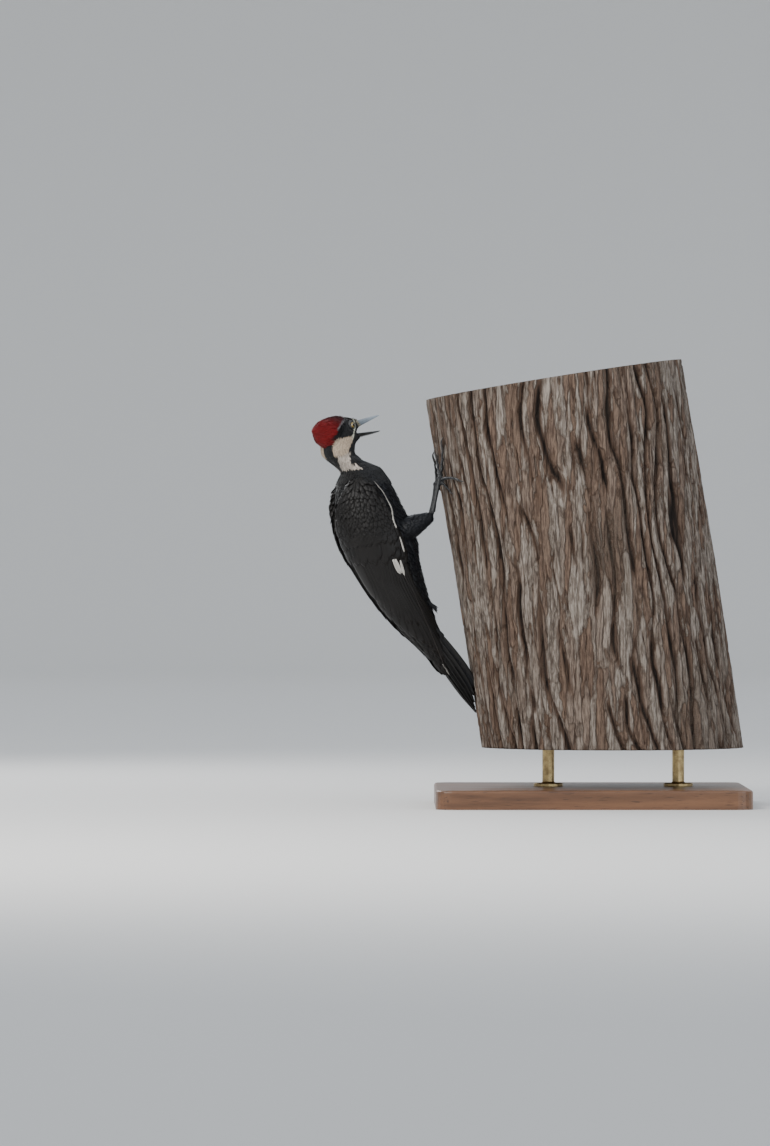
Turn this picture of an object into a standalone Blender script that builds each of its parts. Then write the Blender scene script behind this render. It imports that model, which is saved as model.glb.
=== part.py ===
"""A life-size pileated woodpecker, female, clinging to a cut length of leaning trunk on a display stand.

Metres, +Z up. The origin is the centre of the base's underside. The trunk leans towards -X, and the
bird clings to its -X side with its head up. The bird is modelled in a frame of its own, x forward
(towards the trunk), y to its left and z up, and is then turned by BODY_YAW and set down by BODY_AT.
"""

import math

import bmesh
import bpy
from mathutils import Matrix, Vector

MM = 0.001
GAP = 0.3 * MM  # between pieces that meet

# Stand
BASE_SIZE = Vector((0.36, 0.32, 0.022))
BASE_CORNER = 0.018
BASE_EDGE = 0.003
ROD_RADIUS = 0.007
ROD_HEIGHT = 0.045
ROD_FLANGE_RADIUS = 0.017
ROD_FLANGE_HEIGHT = 0.004
ROD_SPREAD = 0.075  # each rod from the middle of the trunk's foot
ROD_EASE = 0.0012  # the flange's eased edge and the fillet at its middle
ROD_SIDES = 20

# Trunk
LOG_RADIUS = 0.151
LOG_LEAN = math.radians(9.0)
LOG_FOOT = Vector((0.026, 0.0, BASE_SIZE.z + ROD_HEIGHT))
LOG_TOP = 0.430  # above the foot, along the trunk
LOG_SIDES = 48
LOG_RINGS = 6
LOG_RIDGE = 0.0022  # how far the broad ridges swell past the radius

# The bird's own frame in the model
BODY_AT = Vector((-0.2358, -0.033, 0.2717))
BODY_YAW = math.radians(16.0)

# Trunk of the body: back and belly points (x, z) and half width, in millimetres, from neck to vent
TORSO = (
    ((-55.0, 111.0), (-29.0, 127.5), 18.5),
    ((-60.0, 101.5), (-7.5, 119.5), 27.0),
    ((-62.5, 90.0), (3.8, 105.0), 33.5),
    ((-63.2, 75.0), (10.8, 89.0), 37.0),
    ((-61.8, 56.5), (20.8, 70.5), 38.5),
    ((-56.8, 36.0), (31.2, 51.0), 38.5),
    ((-47.8, 15.5), (37.6, 31.5), 37.0),
    ((-33.5, -6.5), (39.4, 10.5), 34.0),
    ((-18.2, -29.0), (45.4, -12.5), 29.5),
    ((-1.5, -50.5), (51.5, -32.5), 25.0),
    ((16.5, -69.5), (57.5, -51.5), 20.5),
    ((33.5, -83.0), (62.5, -69.5), 16.0),
)
TORSO_SIDES = 24
TORSO_STEPS = 1  # rings to each pair of stations

# Head, in a frame of its own: f forward along the bill, l to its left, u up, in millimetres
HEAD_AT = Vector((-50.7, 5.0, 160.7))
HEAD_YAW = math.radians(33.0)
HEAD_PITCH = math.radians(18.5)
NECK_MIDDLE = ((-65.5, 120.5), (-33.5, 131.5), 18.0, 0.45)  # back, front, half width, share of the yaw
HEAD = (
    ((-38.5, -21.5), (5.5, -27.5), 17.0),
    ((-39.0, -10.5), (6.8, -24.5), 17.0),
    ((-35.5, 1.5), (8.5, -22.8), 16.6),
    ((-28.5, 10.5), (10.5, -21.2), 16.2),
    ((-17.0, 15.8), (12.6, -20.2), 15.6),
    ((-5.0, 16.8), (14.8, -19.6), 14.8),
    ((5.5, 15.0), (16.8, -19.2), 13.4),
    ((13.2, 12.0), (18.6, -18.9), 11.4),
    ((18.6, 8.8), (20.2, -18.6), 9.6),
    ((21.6, 6.2), (21.2, -18.3), 8.6),
)
HEAD_SIDES = 20
HEAD_STEPS = 2

# Mouth and bill
JAW_HINGE = Vector((-12.0, 0.0, -3.0))
GAPE = math.radians(13.0)
MOUTH_CORNER = 9.0  # how far forward of the head's middle the mouth begins
MOUTH_LINE = -3.0  # height of the closed mouth
MOUTH_REACH = 30.0  # how far forward the opening is cut
MOUTH_HALF = 20.0  # half the width of the cut, wider than the head
BILL_BASE = 22.0
BILL_TIP = 65.0
UPPER_DEPTH, UPPER_WIDTH = 8.8, 12.6
LOWER_DEPTH, LOWER_WIDTH = 7.8, 11.0
LOWER_BASE = 23.8
LOWER_SHORT = 1.5  # how much shorter the lower half is at its tip
BILL_STATIONS = 9
BILL_SIDES = 12

# Crest: points of its outline (f, u), along its top edge and along its back edge, from forehead to tip
CREST_TOP = (
    (8.0, 13.5),
    (0.0, 18.3),
    (-9.0, 20.8),
    (-18.5, 22.2),
    (-29.0, 22.6),
    (-39.0, 21.0),
    (-52.0, 16.2),
)
CREST_BACK = (
    (8.0, 9.0),
    (-4.0, 4.0),
    (-16.0, -4.0),
    (-27.0, -11.5),
    (-37.5, -12.0),
    (-45.5, -2.0),
    (-50.3, 13.4),
)
CREST_WIDTHS = (6.0, 10.8, 15.0, 16.6, 14.5, 8.5, 1.6)
CREST_SIDES = 16
CREST_STEPS = 2  # rings to each pair of points

EYE_RADIUS = 4.9
EYE_AT = Vector((3.5, 10.6, 5.0))
EYE_SIDES = (14, 8)  # round it, and from pole to pole

# Wings: angles from the middle of the back at which each begins and ends, by station of WING_BED
WING_BED_GROWTH = 4.2
WING_BED_TAIL = (
    ((47.5, -95.5), (73.0, -86.0), 12.0),
    ((59.0, -110.5), (78.0, -104.0), 8.5),
    ((69.0, -122.5), (74.5, -119.5), 5.5),
)
WING_ANGLES = (
    (56.0, 80.0),
    (33.0, 98.0),
    (17.0, 105.0),
    (12.0, 108.0),
    (11.0, 111.0),
    (11.0, 112.0),
    (11.0, 109.0),
    (11.0, 107.0),
    (11.0, 112.0),
    (9.0, 120.0),
    (8.0, 126.0),
    (12.0, 122.0),
    (26.0, 116.0),
    (58.0, 112.0),
)
WING_FIRST = 1  # the first station of TORSO that the wing covers
WING_THICKNESS = (5.0, 6.5, 6.5, 6.0, 6.0, 5.5, 5.5, 5.0, 4.5, 4.0, 3.2, 2.6, 2.0, 1.2)
WING_ACROSS = 9
WING_EDGE = 0.06  # the share of its width over which a wing thins to its edge

# Tail: five pairs of stiff feathers under an arched pair in the middle
TAIL_ROOT = Vector((36.0, 0.0, -65.5))
TAIL_TIP = Vector((107.5, 0.0, -164.5))
TAIL_BOW = 2.0  # how far the pressed tail bows away from the trunk
TAIL_ROOT_HALF, TAIL_HALF, TAIL_TIP_HALF = 14.0, 25.0, 17.0
TAIL_DROPS = (13.0, 19.0, 12.0)  # how far its edges lie below its ridge, at the root, the middle and the tip
TAIL_THICKNESS = 2.6
TAIL_ROWS = 6
TAIL_PAIRS = 5
TAIL_STEP = 0.052  # each pair ends this share of the length short of the next
TAIL_NOTCH = 0.075
TAIL_WIDEST = 0.6  # the share of the length at which it is widest

# Legs, by side: -1 is the right leg. Heels and hips are in the bird's frame; a foot has its height and its
# bearing on the trunk
HEELS = {-1: Vector((45.0, -32.0, 61.5)), 1: Vector((61.5, 31.0, 62.0))}
HIPS = {-1: Vector((14.0, -21.0, 45.0)), 1: Vector((16.0, 21.0, 43.0))}
FOOT_HEIGHTS = {-1: 0.3755, 1: 0.371}
FOOT_BEARINGS = {-1: math.radians(16.0), 1: math.radians(-12.0)}
FOOT_LIFT = 7.5 * MM
TARSUS_RADIUS = 2.7 * MM
TARSUS_SHAPE = (1.25, 1.05, 0.95, 0.95, 1.0, 1.15, 1.35)  # radii from heel to foot, as shares of that
TARSUS_START = 6.0 * MM  # below the heel, where the feathers end
THIGH_RADII = (14.5, 14.5, 14.2, 13.4, 12.2, 10.8, 9.3, 7.8, 6.0)  # from flank to heel, in millimetres
THIGH_BLOCK_STATIONS = range(1, 8)  # the stations of the wing that lie over a thigh
THIGH_BLOCK_DEPTHS = (16.0, -8.0)  # how far the wing's space reaches out and in
SIDE_NAMES = {-1: "right", 1: "left"}

# Toes: name, length, start radius, heading at the root and at the tip from straight up the trunk
# (degrees, positive away from the body's middle), and the claw's length
TOES = (
    ("hind", 13.0, 2.1, 140.0, 128.0, 9.0),
    ("inner", 24.0, 2.4, -34.0, -14.0, 12.5),
    ("middle", 30.0, 2.5, 22.0, 12.0, 13.5),
    ("outer", 29.0, 2.5, 84.0, 108.0, 12.5),
)
TOE_RINGS = 7
TOE_SIDES = 6
TOE_HUB = 4.2 * MM
TOE_ARCH = 2.6 * MM  # how far a toe's root stands off the bark
TOE_KNUCKLE = 0.9 * MM
CLAW_RINGS = 7
CLAW_CURL = math.radians(78)
CLAW_ARCH = 1.7 * MM
CLAW_POINT = 0.3 * MM

COLOURS = {
    "plumage": ((0.022, 0.022, 0.024), 0.62),
    "crest_red": ((0.36, 0.012, 0.016), 0.65),
    "face": ((0.30, 0.28, 0.25), 0.70),
    "bill": ((0.20, 0.23, 0.26), 0.32),
    "eye": ((0.42, 0.30, 0.05), 0.12),
    "leg": ((0.075, 0.078, 0.080), 0.50),
    "claw": ((0.045, 0.042, 0.040), 0.35),
    "bark": ((0.21, 0.18, 0.15), 0.90),
    "stand_wood": ((0.16, 0.075, 0.035), 0.40),
    "stand_metal": ((0.42, 0.36, 0.25), 0.35),
}
METALS = {"stand_metal"}
SMOOTH_UNDER = math.radians(50)


# ---------------------------------------------------------------- helpers


def clear_scene():
    for obj in list(bpy.data.objects):
        bpy.data.objects.remove(obj, do_unlink=True)


def material(name):
    found = bpy.data.materials.get(name)
    if found:
        return found
    colour, roughness = COLOURS[name]
    made = bpy.data.materials.new(name)
    made.use_nodes = True
    shader = made.node_tree.nodes["Principled BSDF"]
    shader.inputs["Base Color"].default_value = (*colour, 1.0)
    shader.inputs["Roughness"].default_value = roughness
    shader.inputs["Metallic"].default_value = 1.0 if name in METALS else 0.0
    return made


def object_from(name, bm, finish, smooth=True):
    """A new object holding the bmesh, its faces turned outwards."""
    bmesh.ops.recalc_face_normals(bm, faces=bm.faces[:])
    if bm.calc_volume(signed=True) < 0:
        bmesh.ops.reverse_faces(bm, faces=bm.faces[:])
    mesh = bpy.data.meshes.new(name)
    bm.to_mesh(mesh)
    bm.free()
    if smooth:
        mesh.shade_smooth()
        mesh.set_sharp_from_angle(angle=SMOOTH_UNDER)
    mesh.materials.append(material(finish))
    obj = bpy.data.objects.new(name, mesh)
    bpy.context.scene.collection.objects.link(obj)
    return obj


def skin_through(rings, plate=False):
    """A closed bmesh through rings with equal numbers of points. Each end is one flat face, or on a plate,
    whose rings go out along one side and back along the other, a strip of faces between the two sides."""
    bm = bmesh.new()
    rows = [[bm.verts.new(p) for p in ring] for ring in rings]
    count = len(rows[0])
    for row, following in zip(rows, rows[1:]):
        for i in range(count):
            j = (i + 1) % count
            bm.faces.new((row[i], row[j], following[j], following[i]))
    for row in (rows[0], rows[-1]):
        if not plate:
            bm.faces.new(row)
            continue
        for i in range(count // 2 - 1):
            bm.faces.new((row[i], row[i + 1], row[count - 2 - i], row[count - 1 - i]))
    return bm


def catmull(points, t):
    """The smooth curve through the points, at t from 0 to len(points) - 1. Points are numbers or vectors."""
    last = len(points) - 1
    i = min(int(t), last - 1)
    s = t - i
    a = points[max(i - 1, 0)]
    b, c = points[i], points[i + 1]
    d = points[min(i + 2, last)]
    return 0.5 * (2 * b + (c - a) * s + (2 * a - 5 * b + 4 * c - d) * s**2 + (3 * b - a - 3 * c + d) * s**3)


def boolean(obj, cutter, operation="DIFFERENCE"):
    """Applies a Boolean with an exact solver, and removes the cutter."""
    modifier = obj.modifiers.new("cut", "BOOLEAN")
    modifier.operation = operation
    modifier.solver = "EXACT"
    modifier.object = cutter
    graph = bpy.context.evaluated_depsgraph_get()
    mesh = bpy.data.meshes.new_from_object(obj.evaluated_get(graph))
    obj.modifiers.clear()
    old = obj.data
    obj.data = mesh
    bpy.data.meshes.remove(old)
    bpy.data.objects.remove(cutter, do_unlink=True)


def islands(bm):
    """The bmesh's separate bodies, as lists of points, the largest first."""
    found = []
    unseen = set(bm.verts)
    while unseen:
        todo = [unseen.pop()]
        island = []
        while todo:
            vert = todo.pop()
            island.append(vert)
            near = {edge.other_vert(vert) for edge in vert.link_edges} & unseen
            unseen -= near
            todo.extend(near)
        found.append(island)
    return sorted(found, key=len, reverse=True)


def tidy(obj, within=0.02 * MM):
    """Joins points that a cut left almost together, and drops crumbs smaller than the piece itself."""
    bm = bmesh.new()
    bm.from_mesh(obj.data)
    bmesh.ops.remove_doubles(bm, verts=bm.verts[:], dist=within)
    bmesh.ops.dissolve_degenerate(bm, edges=bm.edges[:], dist=within)
    bmesh.ops.triangulate(bm, faces=bm.faces[:])
    crumbs = [vert for island in islands(bm)[1:] for vert in island]
    if crumbs:
        bmesh.ops.delete(bm, geom=crumbs, context="VERTS")
    bm.to_mesh(obj.data)
    bm.free()


# ---------------------------------------------------------------- frames


def head_matrix():
    """From the head's frame (f, l, u) to the bird's, in millimetres."""
    turn = Matrix.Rotation(HEAD_YAW, 4, "Z") @ Matrix.Rotation(-HEAD_PITCH, 4, "Y")
    return Matrix.Translation(HEAD_AT) @ turn


def bird_matrix():
    """From the bird's frame in millimetres to the model's in metres."""
    return Matrix.Translation(BODY_AT) @ Matrix.Rotation(BODY_YAW, 4, "Z") @ Matrix.Scale(MM, 4)


TO_MODEL = bird_matrix()
HEAD_TO_BIRD = head_matrix()


def log_axis(height):
    return LOG_FOOT + Vector((-math.sin(LOG_LEAN), 0.0, math.cos(LOG_LEAN))) * height


def log_outward(bearing):
    """Away from the trunk's axis: bearing 0 is the side that the bird is on, positive towards -Y."""
    side = Vector((-math.cos(LOG_LEAN), 0.0, -math.sin(LOG_LEAN)))
    return side * math.cos(bearing) + Vector((0.0, -math.sin(bearing), 0.0))


def log_radius(height, bearing):
    """The trunk isn't quite round: it swells in a few broad ridges that wander as they climb."""
    wander = 0.5 * math.sin(9.0 * height)
    swell = 0.6 * math.cos(3 * bearing + 1.3 + wander) + 0.4 * math.cos(7 * bearing - 0.6 - 2 * wander)
    return LOG_RADIUS + LOG_RIDGE * swell - 0.5 * LOG_RIDGE


def on_log(height, bearing, lift=0.0):
    return log_axis(height) + log_outward(bearing) * (log_radius(height, bearing) + lift)


def log_height_at(z, bearing):
    """The height along the trunk at which its surface passes through z."""
    rise = z - LOG_FOOT.z + LOG_RADIUS * math.cos(bearing) * math.sin(LOG_LEAN)
    return rise / math.cos(LOG_LEAN)


# ---------------------------------------------------------------- body


def sections():
    """The body's stations from the vent to the bill's root: back, front, half width, sideways direction."""
    found = []
    for back, front, half in reversed(TORSO):
        found.append((Vector((back[0], 0, back[1])), Vector((front[0], 0, front[1])), half, 0.0))
    back, front, half, share = NECK_MIDDLE
    turn = share * HEAD_YAW
    middle = (Vector((back[0], 0, back[1])), Vector((front[0], 0, front[1])))
    centre = (middle[0] + middle[1]) / 2
    spin = Matrix.Rotation(turn, 3, "Z")
    found.append((*(centre + spin @ (p - centre) for p in middle), half, turn))
    for back, front, half in HEAD:
        ends = (HEAD_TO_BIRD @ Vector((p[0], 0, p[1])) for p in (back, front))
        found.append((*ends, half, HEAD_YAW))
    return found


SECTIONS = sections()
NECK_START = len(TORSO) - 1
HEAD_START = len(TORSO) + 1
BILL_START = len(SECTIONS) - 1


def section_at(t):
    back = catmull([s[0] for s in SECTIONS], t)
    front = catmull([s[1] for s in SECTIONS], t)
    half = catmull([s[2] for s in SECTIONS], t)
    yaw = catmull([s[3] for s in SECTIONS], t)
    return back, front, half, Vector((-math.sin(yaw), math.cos(yaw), 0.0))


def body_ring(t, sides, growth=0.0, shift=0.0):
    """A ring of the body at t, in the bird's frame. growth swells it, and shift moves it along the body."""
    back, front, half, left = section_at(t)
    centre, reach = (back + front) / 2, (back - front) / 2
    up = reach.normalized()
    along = up.cross(left).normalized()
    ring = []
    for i in range(sides):
        angle = 2 * math.pi * i / sides
        high, wide = math.cos(angle), math.sin(angle)
        fuller = 1.0 - 0.06 * high  # a little fuller towards the belly
        point = centre + up * high * (reach.length + growth) + left * wide * (half + growth) * fuller
        ring.append(point + along * shift)
    return ring


def body_piece(name, start, end, steps, sides, finish, growth=0.0, trim=(True, True)):
    """A length of the body from t = start to t = end, short of its neighbours by half a gap at each end."""
    count = round((end - start) * steps)
    rings = []
    for i in range(count + 1):
        t = start + (end - start) * i / count
        shift = 0.0
        if i == 0:
            shift = 0.5 * GAP / MM * trim[0] - growth
        if i == count:
            shift = growth - 0.5 * GAP / MM * trim[1]
        rings.append([TO_MODEL @ p for p in body_ring(t, sides, growth, shift * BODY_ALONG)])
    return object_from(name, skin_through(rings), finish)


def along_sign():
    """+1 where the rings' own direction runs from vent to bill."""
    back, front, _, left = section_at(2.0)
    along = (back - front).normalized().cross(left)
    onward = section_at(3.0)
    step = (onward[0] + onward[1]) / 2 - (back + front) / 2
    return 1.0 if along.dot(step) > 0 else -1.0


BODY_ALONG = along_sign()


def head_point(f, l, u):
    return TO_MODEL @ (HEAD_TO_BIRD @ Vector((f, l, u)))


def jaw_line(f):
    """Height of the dropped lower jaw's upper edge."""
    return MOUTH_LINE - (f - JAW_HINGE.x) * math.tan(GAPE)


def mouth_cutter():
    """The open mouth: a wedge from the corners of the mouth, wider than the head."""
    near, far = MOUTH_CORNER, MOUTH_CORNER + MOUTH_REACH
    profile = ((near, MOUTH_LINE), (far, MOUTH_LINE), (far, jaw_line(far)), (near, jaw_line(near)))
    rings = [[head_point(f, side * MOUTH_HALF, u) for f, u in profile] for side in (-1, 1)]
    return object_from("mouth_cutter", skin_through(rings), "face", smooth=False)


def grown_trunk():
    """The trunk of the body, swollen by a gap, to cut what lies on it."""
    return body_piece("grown_trunk", 0, NECK_START + 1, TORSO_STEPS, TORSO_SIDES, "plumage", GAP / MM)


def make_head():
    head = body_piece("head", HEAD_START, BILL_START, HEAD_STEPS, HEAD_SIDES, "face", trim=(True, False))
    boolean(head, mouth_cutter())
    for side in (-1, 1):
        at = head_point(EYE_AT.x, side * EYE_AT.y, EYE_AT.z)
        boolean(head, ball("socket", at, EYE_RADIUS * MM + GAP, "face"))
        ball(f"eye_{SIDE_NAMES[side]}", at, EYE_RADIUS * MM, "eye")
    tidy(head)
    return head


def ball(name, at, radius, finish):
    bm = bmesh.new()
    around, up = EYE_SIDES
    bmesh.ops.create_uvsphere(bm, u_segments=around, v_segments=up, radius=radius)
    bmesh.ops.translate(bm, verts=bm.verts[:], vec=at)
    return object_from(name, bm, finish)


def crest_piece():
    """The raised crest: tapering sections between its top and back edges, cut away where the head is."""
    tops = [Vector((f, 0, u)) for f, u in CREST_TOP]
    backs = [Vector((f, 0, u)) for f, u in CREST_BACK]
    rings = []
    for i in range((len(tops) - 1) * CREST_STEPS + 1):
        t = i / CREST_STEPS
        top, back, half = catmull(tops, t), catmull(backs, t), catmull(CREST_WIDTHS, t)
        centre, reach = (top + back) / 2, (top - back) / 2
        ring = []
        for k in range(CREST_SIDES):
            angle = 2 * math.pi * k / CREST_SIDES
            point = centre + reach * math.cos(angle) + Vector((0, half * math.sin(angle), 0))
            ring.append(TO_MODEL @ (HEAD_TO_BIRD @ point))
        rings.append(ring)
    crest = object_from("crest", skin_through(rings), "crest_red")
    start = HEAD_START - 1
    grown_head = body_piece("grown_head", start, BILL_START, HEAD_STEPS, HEAD_SIDES, "face", GAP / MM)
    boolean(crest, grown_head)
    tidy(crest)
    return crest


def bill_half(name, lower):
    """Half of the bill: flat along the mouth, ridged outside, tapering to a chisel tip."""
    depth, width = (LOWER_DEPTH, LOWER_WIDTH) if lower else (UPPER_DEPTH, UPPER_WIDTH)
    base, tip = (LOWER_BASE, BILL_TIP - LOWER_SHORT) if lower else (BILL_BASE, BILL_TIP)
    side = -1 if lower else 1
    turn = Matrix.Translation(JAW_HINGE) @ Matrix.Rotation(GAPE, 4, "Y") @ Matrix.Translation(-JAW_HINGE)
    rings = []
    for i in range(BILL_STATIONS):
        s = i / (BILL_STATIONS - 1)
        f = base + GAP / MM + (tip - base) * s
        narrow = 1.0 - s
        half = width / 2 * (0.10 + 0.90 * narrow**0.85)
        deep = depth * (0.13 + 0.87 * narrow ** (0.72 if lower else 0.85))
        ring = []
        for k in range(BILL_SIDES):
            share = k / (BILL_SIDES - 1)
            angle = math.pi * share
            ridge = math.sin(angle) ** 1.15
            point = Vector((f, half * math.cos(angle), MOUTH_LINE + deep * ridge * side))
            ring.append(head_point(*(turn @ point if lower else point)))
        rings.append(ring)
    return object_from(name, skin_through(rings), "bill")


# ---------------------------------------------------------------- wings and tail


def wing_bed():
    """The stations that the closed wings lie over: the trunk's own, swollen, and three past the vent."""
    stations = list(TORSO[WING_FIRST:]) + list(WING_BED_TAIL)
    return [(Vector((b[0], 0, b[1])), Vector((f[0], 0, f[1])), h) for b, f, h in stations]


def wing_piece(name, side):
    rings = []
    for (back, front, half), angles, thick in zip(wing_bed(), WING_ANGLES, WING_THICKNESS):
        first, last = (math.radians(a) for a in angles)
        centre, reach = (back + front) / 2, (back - front) / 2
        up = reach.normalized()
        outer, inner = [], []
        for k in range(WING_ACROSS):
            share = k / (WING_ACROSS - 1)
            angle = first + (last - first) * share
            taper = math.sin(math.pi * min(max(share, WING_EDGE), 1 - WING_EDGE)) ** 0.4
            for row, growth in ((outer, WING_BED_GROWTH), (inner, WING_BED_GROWTH - thick * taper)):
                deep = (reach.length + growth) * math.cos(angle)
                wide = (half + growth) * math.sin(angle) * side
                row.append(TO_MODEL @ (centre + up * deep + Vector((0, wide, 0))))
        rings.append(outer + inner[::-1])
    wing = object_from(name, skin_through(rings, plate=True), "plumage")
    boolean(wing, grown_trunk())
    boolean(wing, tail_piece("grown_tail", GAP / MM))
    tidy(wing)
    return wing


def tail_reach(share):
    """How far down the tail's length a column ends: the middle pair is longest, each ends in a point."""
    place = abs(share) * TAIL_PAIRS
    pair = min(int(place), TAIL_PAIRS - 1)
    off_shaft = abs(place - pair - 0.5) * 2
    return 1.0 - TAIL_STEP * pair - TAIL_NOTCH * off_shaft


def tail_half(along):
    """Half the tail's width: it spreads to its widest, then draws in."""
    spread = math.sin(min(along / TAIL_WIDEST, 1.0) * math.pi / 2)
    half = TAIL_ROOT_HALF + (TAIL_HALF - TAIL_ROOT_HALF) * spread
    return half + (TAIL_TIP_HALF - TAIL_HALF) * max(along - TAIL_WIDEST, 0.0) / (1 - TAIL_WIDEST)


def tail_piece(name, growth=0.0):
    """The closed tail: an arched plate, its end cut into the points of its feathers."""
    columns = 4 * TAIL_PAIRS
    down = TAIL_TIP - TAIL_ROOT
    length = down.length
    onward = down.normalized()
    out = Vector((0, 1, 0)).cross(onward).normalized()  # away from the trunk
    rings = []
    for i in range(TAIL_ROWS + 1):
        s = i / TAIL_ROWS
        upper, lower = [], []
        for k in range(columns + 1):
            v = 2 * k / columns - 1
            along = s * tail_reach(v) if i else -growth / length
            half = tail_half(along)
            drop = catmull(TAIL_DROPS, 2 * max(along, 0.0)) * v * v
            bow = TAIL_BOW * math.sin(math.pi * along)
            middle = TAIL_ROOT + onward * along * length + Vector((0, v * half, 0)) + out * (bow - drop)
            thick = TAIL_THICKNESS * (1.0 - 0.5 * along) * (1.0 - 0.5 * abs(v))
            upper.append(TO_MODEL @ (middle + out * (thick / 2 + growth)))
            lower.append(TO_MODEL @ (middle - out * (thick / 2 + growth)))
        rings.append(upper + lower[::-1])
    return object_from(name, skin_through(rings, plate=True), "plumage")


def make_tail():
    tail = tail_piece("tail")
    boolean(tail, body_piece("grown_vent", 0, NECK_START, TORSO_STEPS, TORSO_SIDES, "plumage", GAP / MM))
    boolean(tail, log_piece("grown_log", GAP))
    tidy(tail)
    return tail


# ---------------------------------------------------------------- legs


def tube(name, path, radii, sides, finish, blunt=True):
    """A round limb along the path. Its ends are flat, or drawn in if blunt is set."""
    rings = []
    count = len(path)
    side = None
    for i, (point, radius) in enumerate(zip(path, radii)):
        ahead = (path[min(i + 1, count - 1)] - path[max(i - 1, 0)]).normalized()
        if side is None:
            side = ahead.orthogonal().normalized()
        side = (side - ahead * side.dot(ahead)).normalized()
        up = ahead.cross(side)
        ring = []
        for k in range(sides):
            angle = 2 * math.pi * k / sides
            ring.append(point + (side * math.cos(angle) + up * math.sin(angle)) * radius)
        rings.append(ring)
    if blunt:
        for end, inward in ((0, 1), (-1, -1)):
            ring, beyond = rings[end], path[end] - path[end + inward]
            centre = path[end]
            cap = [centre + (p - centre) * 0.55 + beyond.normalized() * radii[end] * 0.45 for p in ring]
            rings.insert(0 if end == 0 else len(rings), cap)
    return object_from(name, skin_through(rings), finish)


def foot_hub(side):
    """Where the toes meet: just off the bark."""
    bearing = FOOT_BEARINGS[side]
    return on_log(log_height_at(FOOT_HEIGHTS[side], bearing), bearing, FOOT_LIFT)


def make_thigh(side):
    """The feathered drumstick, from the flank to the heel."""
    hip, heel = TO_MODEL @ HIPS[side], TO_MODEL @ HEELS[side]
    steps = len(THIGH_RADII) - 1
    path = [hip.lerp(heel, i / steps) for i in range(steps + 1)]
    thigh = tube(f"thigh_{SIDE_NAMES[side]}", path, [r * MM for r in THIGH_RADII], 16, "plumage")
    boolean(thigh, grown_trunk())
    tidy(thigh)
    boolean(thigh, grown_wing_block(side))
    tidy(thigh)
    return thigh


def grown_wing_block(side):
    """The space that the closed wing fills, so that the thigh stays under it."""
    bed = wing_bed()
    across = 8
    rings = []
    for i in THIGH_BLOCK_STATIONS:
        back, front, half = bed[i]
        centre, reach = (back + front) / 2, (back - front) / 2
        up = reach.normalized()
        first, last = (math.radians(a) for a in WING_ANGLES[i])
        last += math.radians(2.0)
        ring = []
        for growth in THIGH_BLOCK_DEPTHS:
            for k in range(across):
                share = k / (across - 1)
                angle = first + (last - first) * (share if growth > 0 else 1 - share)
                deep = (reach.length + growth) * math.cos(angle)
                wide = (half + growth) * math.sin(angle) * side
                ring.append(TO_MODEL @ (centre + up * deep + Vector((0, wide, 0))))
        rings.append(ring)
    return object_from("wing_block", skin_through(rings), "plumage")


def make_tarsus(side):
    heel, hub = TO_MODEL @ HEELS[side], foot_hub(side)
    down = (hub - heel).normalized()
    start = heel + down * TARSUS_START
    steps = len(TARSUS_SHAPE) - 1
    path = [start.lerp(hub, i / steps) for i in range(steps + 1)]
    radii = [TARSUS_RADIUS * share for share in TARSUS_SHAPE]
    return tube(f"tarsus_{SIDE_NAMES[side]}", path, radii, 8, "leg")


def toe_walk(side, toe):
    """Points along a toe as it lies round the trunk, then along its claw to a tip in the bark."""
    _, length, radius, first, last, claw = toe
    bearing = FOOT_BEARINGS[side]
    height = log_height_at(FOOT_HEIGHTS[side], bearing)
    lifts = []
    path = []
    travelled = TOE_HUB
    heading = math.radians(first)
    height += math.cos(heading) * travelled
    bearing -= side * math.sin(heading) * travelled / LOG_RADIUS
    step = length * MM / (TOE_RINGS - 1)
    for i in range(TOE_RINGS):
        s = i / (TOE_RINGS - 1)
        heading = math.radians(first + (last - first) * s)
        knuckle = TOE_KNUCKLE * math.sin(3 * math.pi * s) ** 2
        lift = radius * MM * (1.0 - 0.30 * s) + GAP + knuckle + TOE_ARCH * (1 - s) ** 2
        path.append(on_log(height, bearing, lift))
        lifts.append(lift)
        height += math.cos(heading) * step
        bearing -= side * math.sin(heading) * step / LOG_RADIUS
    hooked = []
    for i in range(CLAW_RINGS):
        s = i / (CLAW_RINGS - 1)
        reach = claw * MM * math.sin(s * CLAW_CURL) / CLAW_CURL * 1.15
        rise = CLAW_ARCH * math.sin(math.pi * min(s * 1.15, 1.0)) * (1 - 0.2 * s)
        fall = (lifts[-1] - GAP) * (1 - s) ** 1.5 + 2 * GAP
        across = side * math.sin(heading) * reach / LOG_RADIUS
        hooked.append(on_log(height + math.cos(heading) * reach, bearing - across, rise + fall))
    return path, hooked


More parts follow.
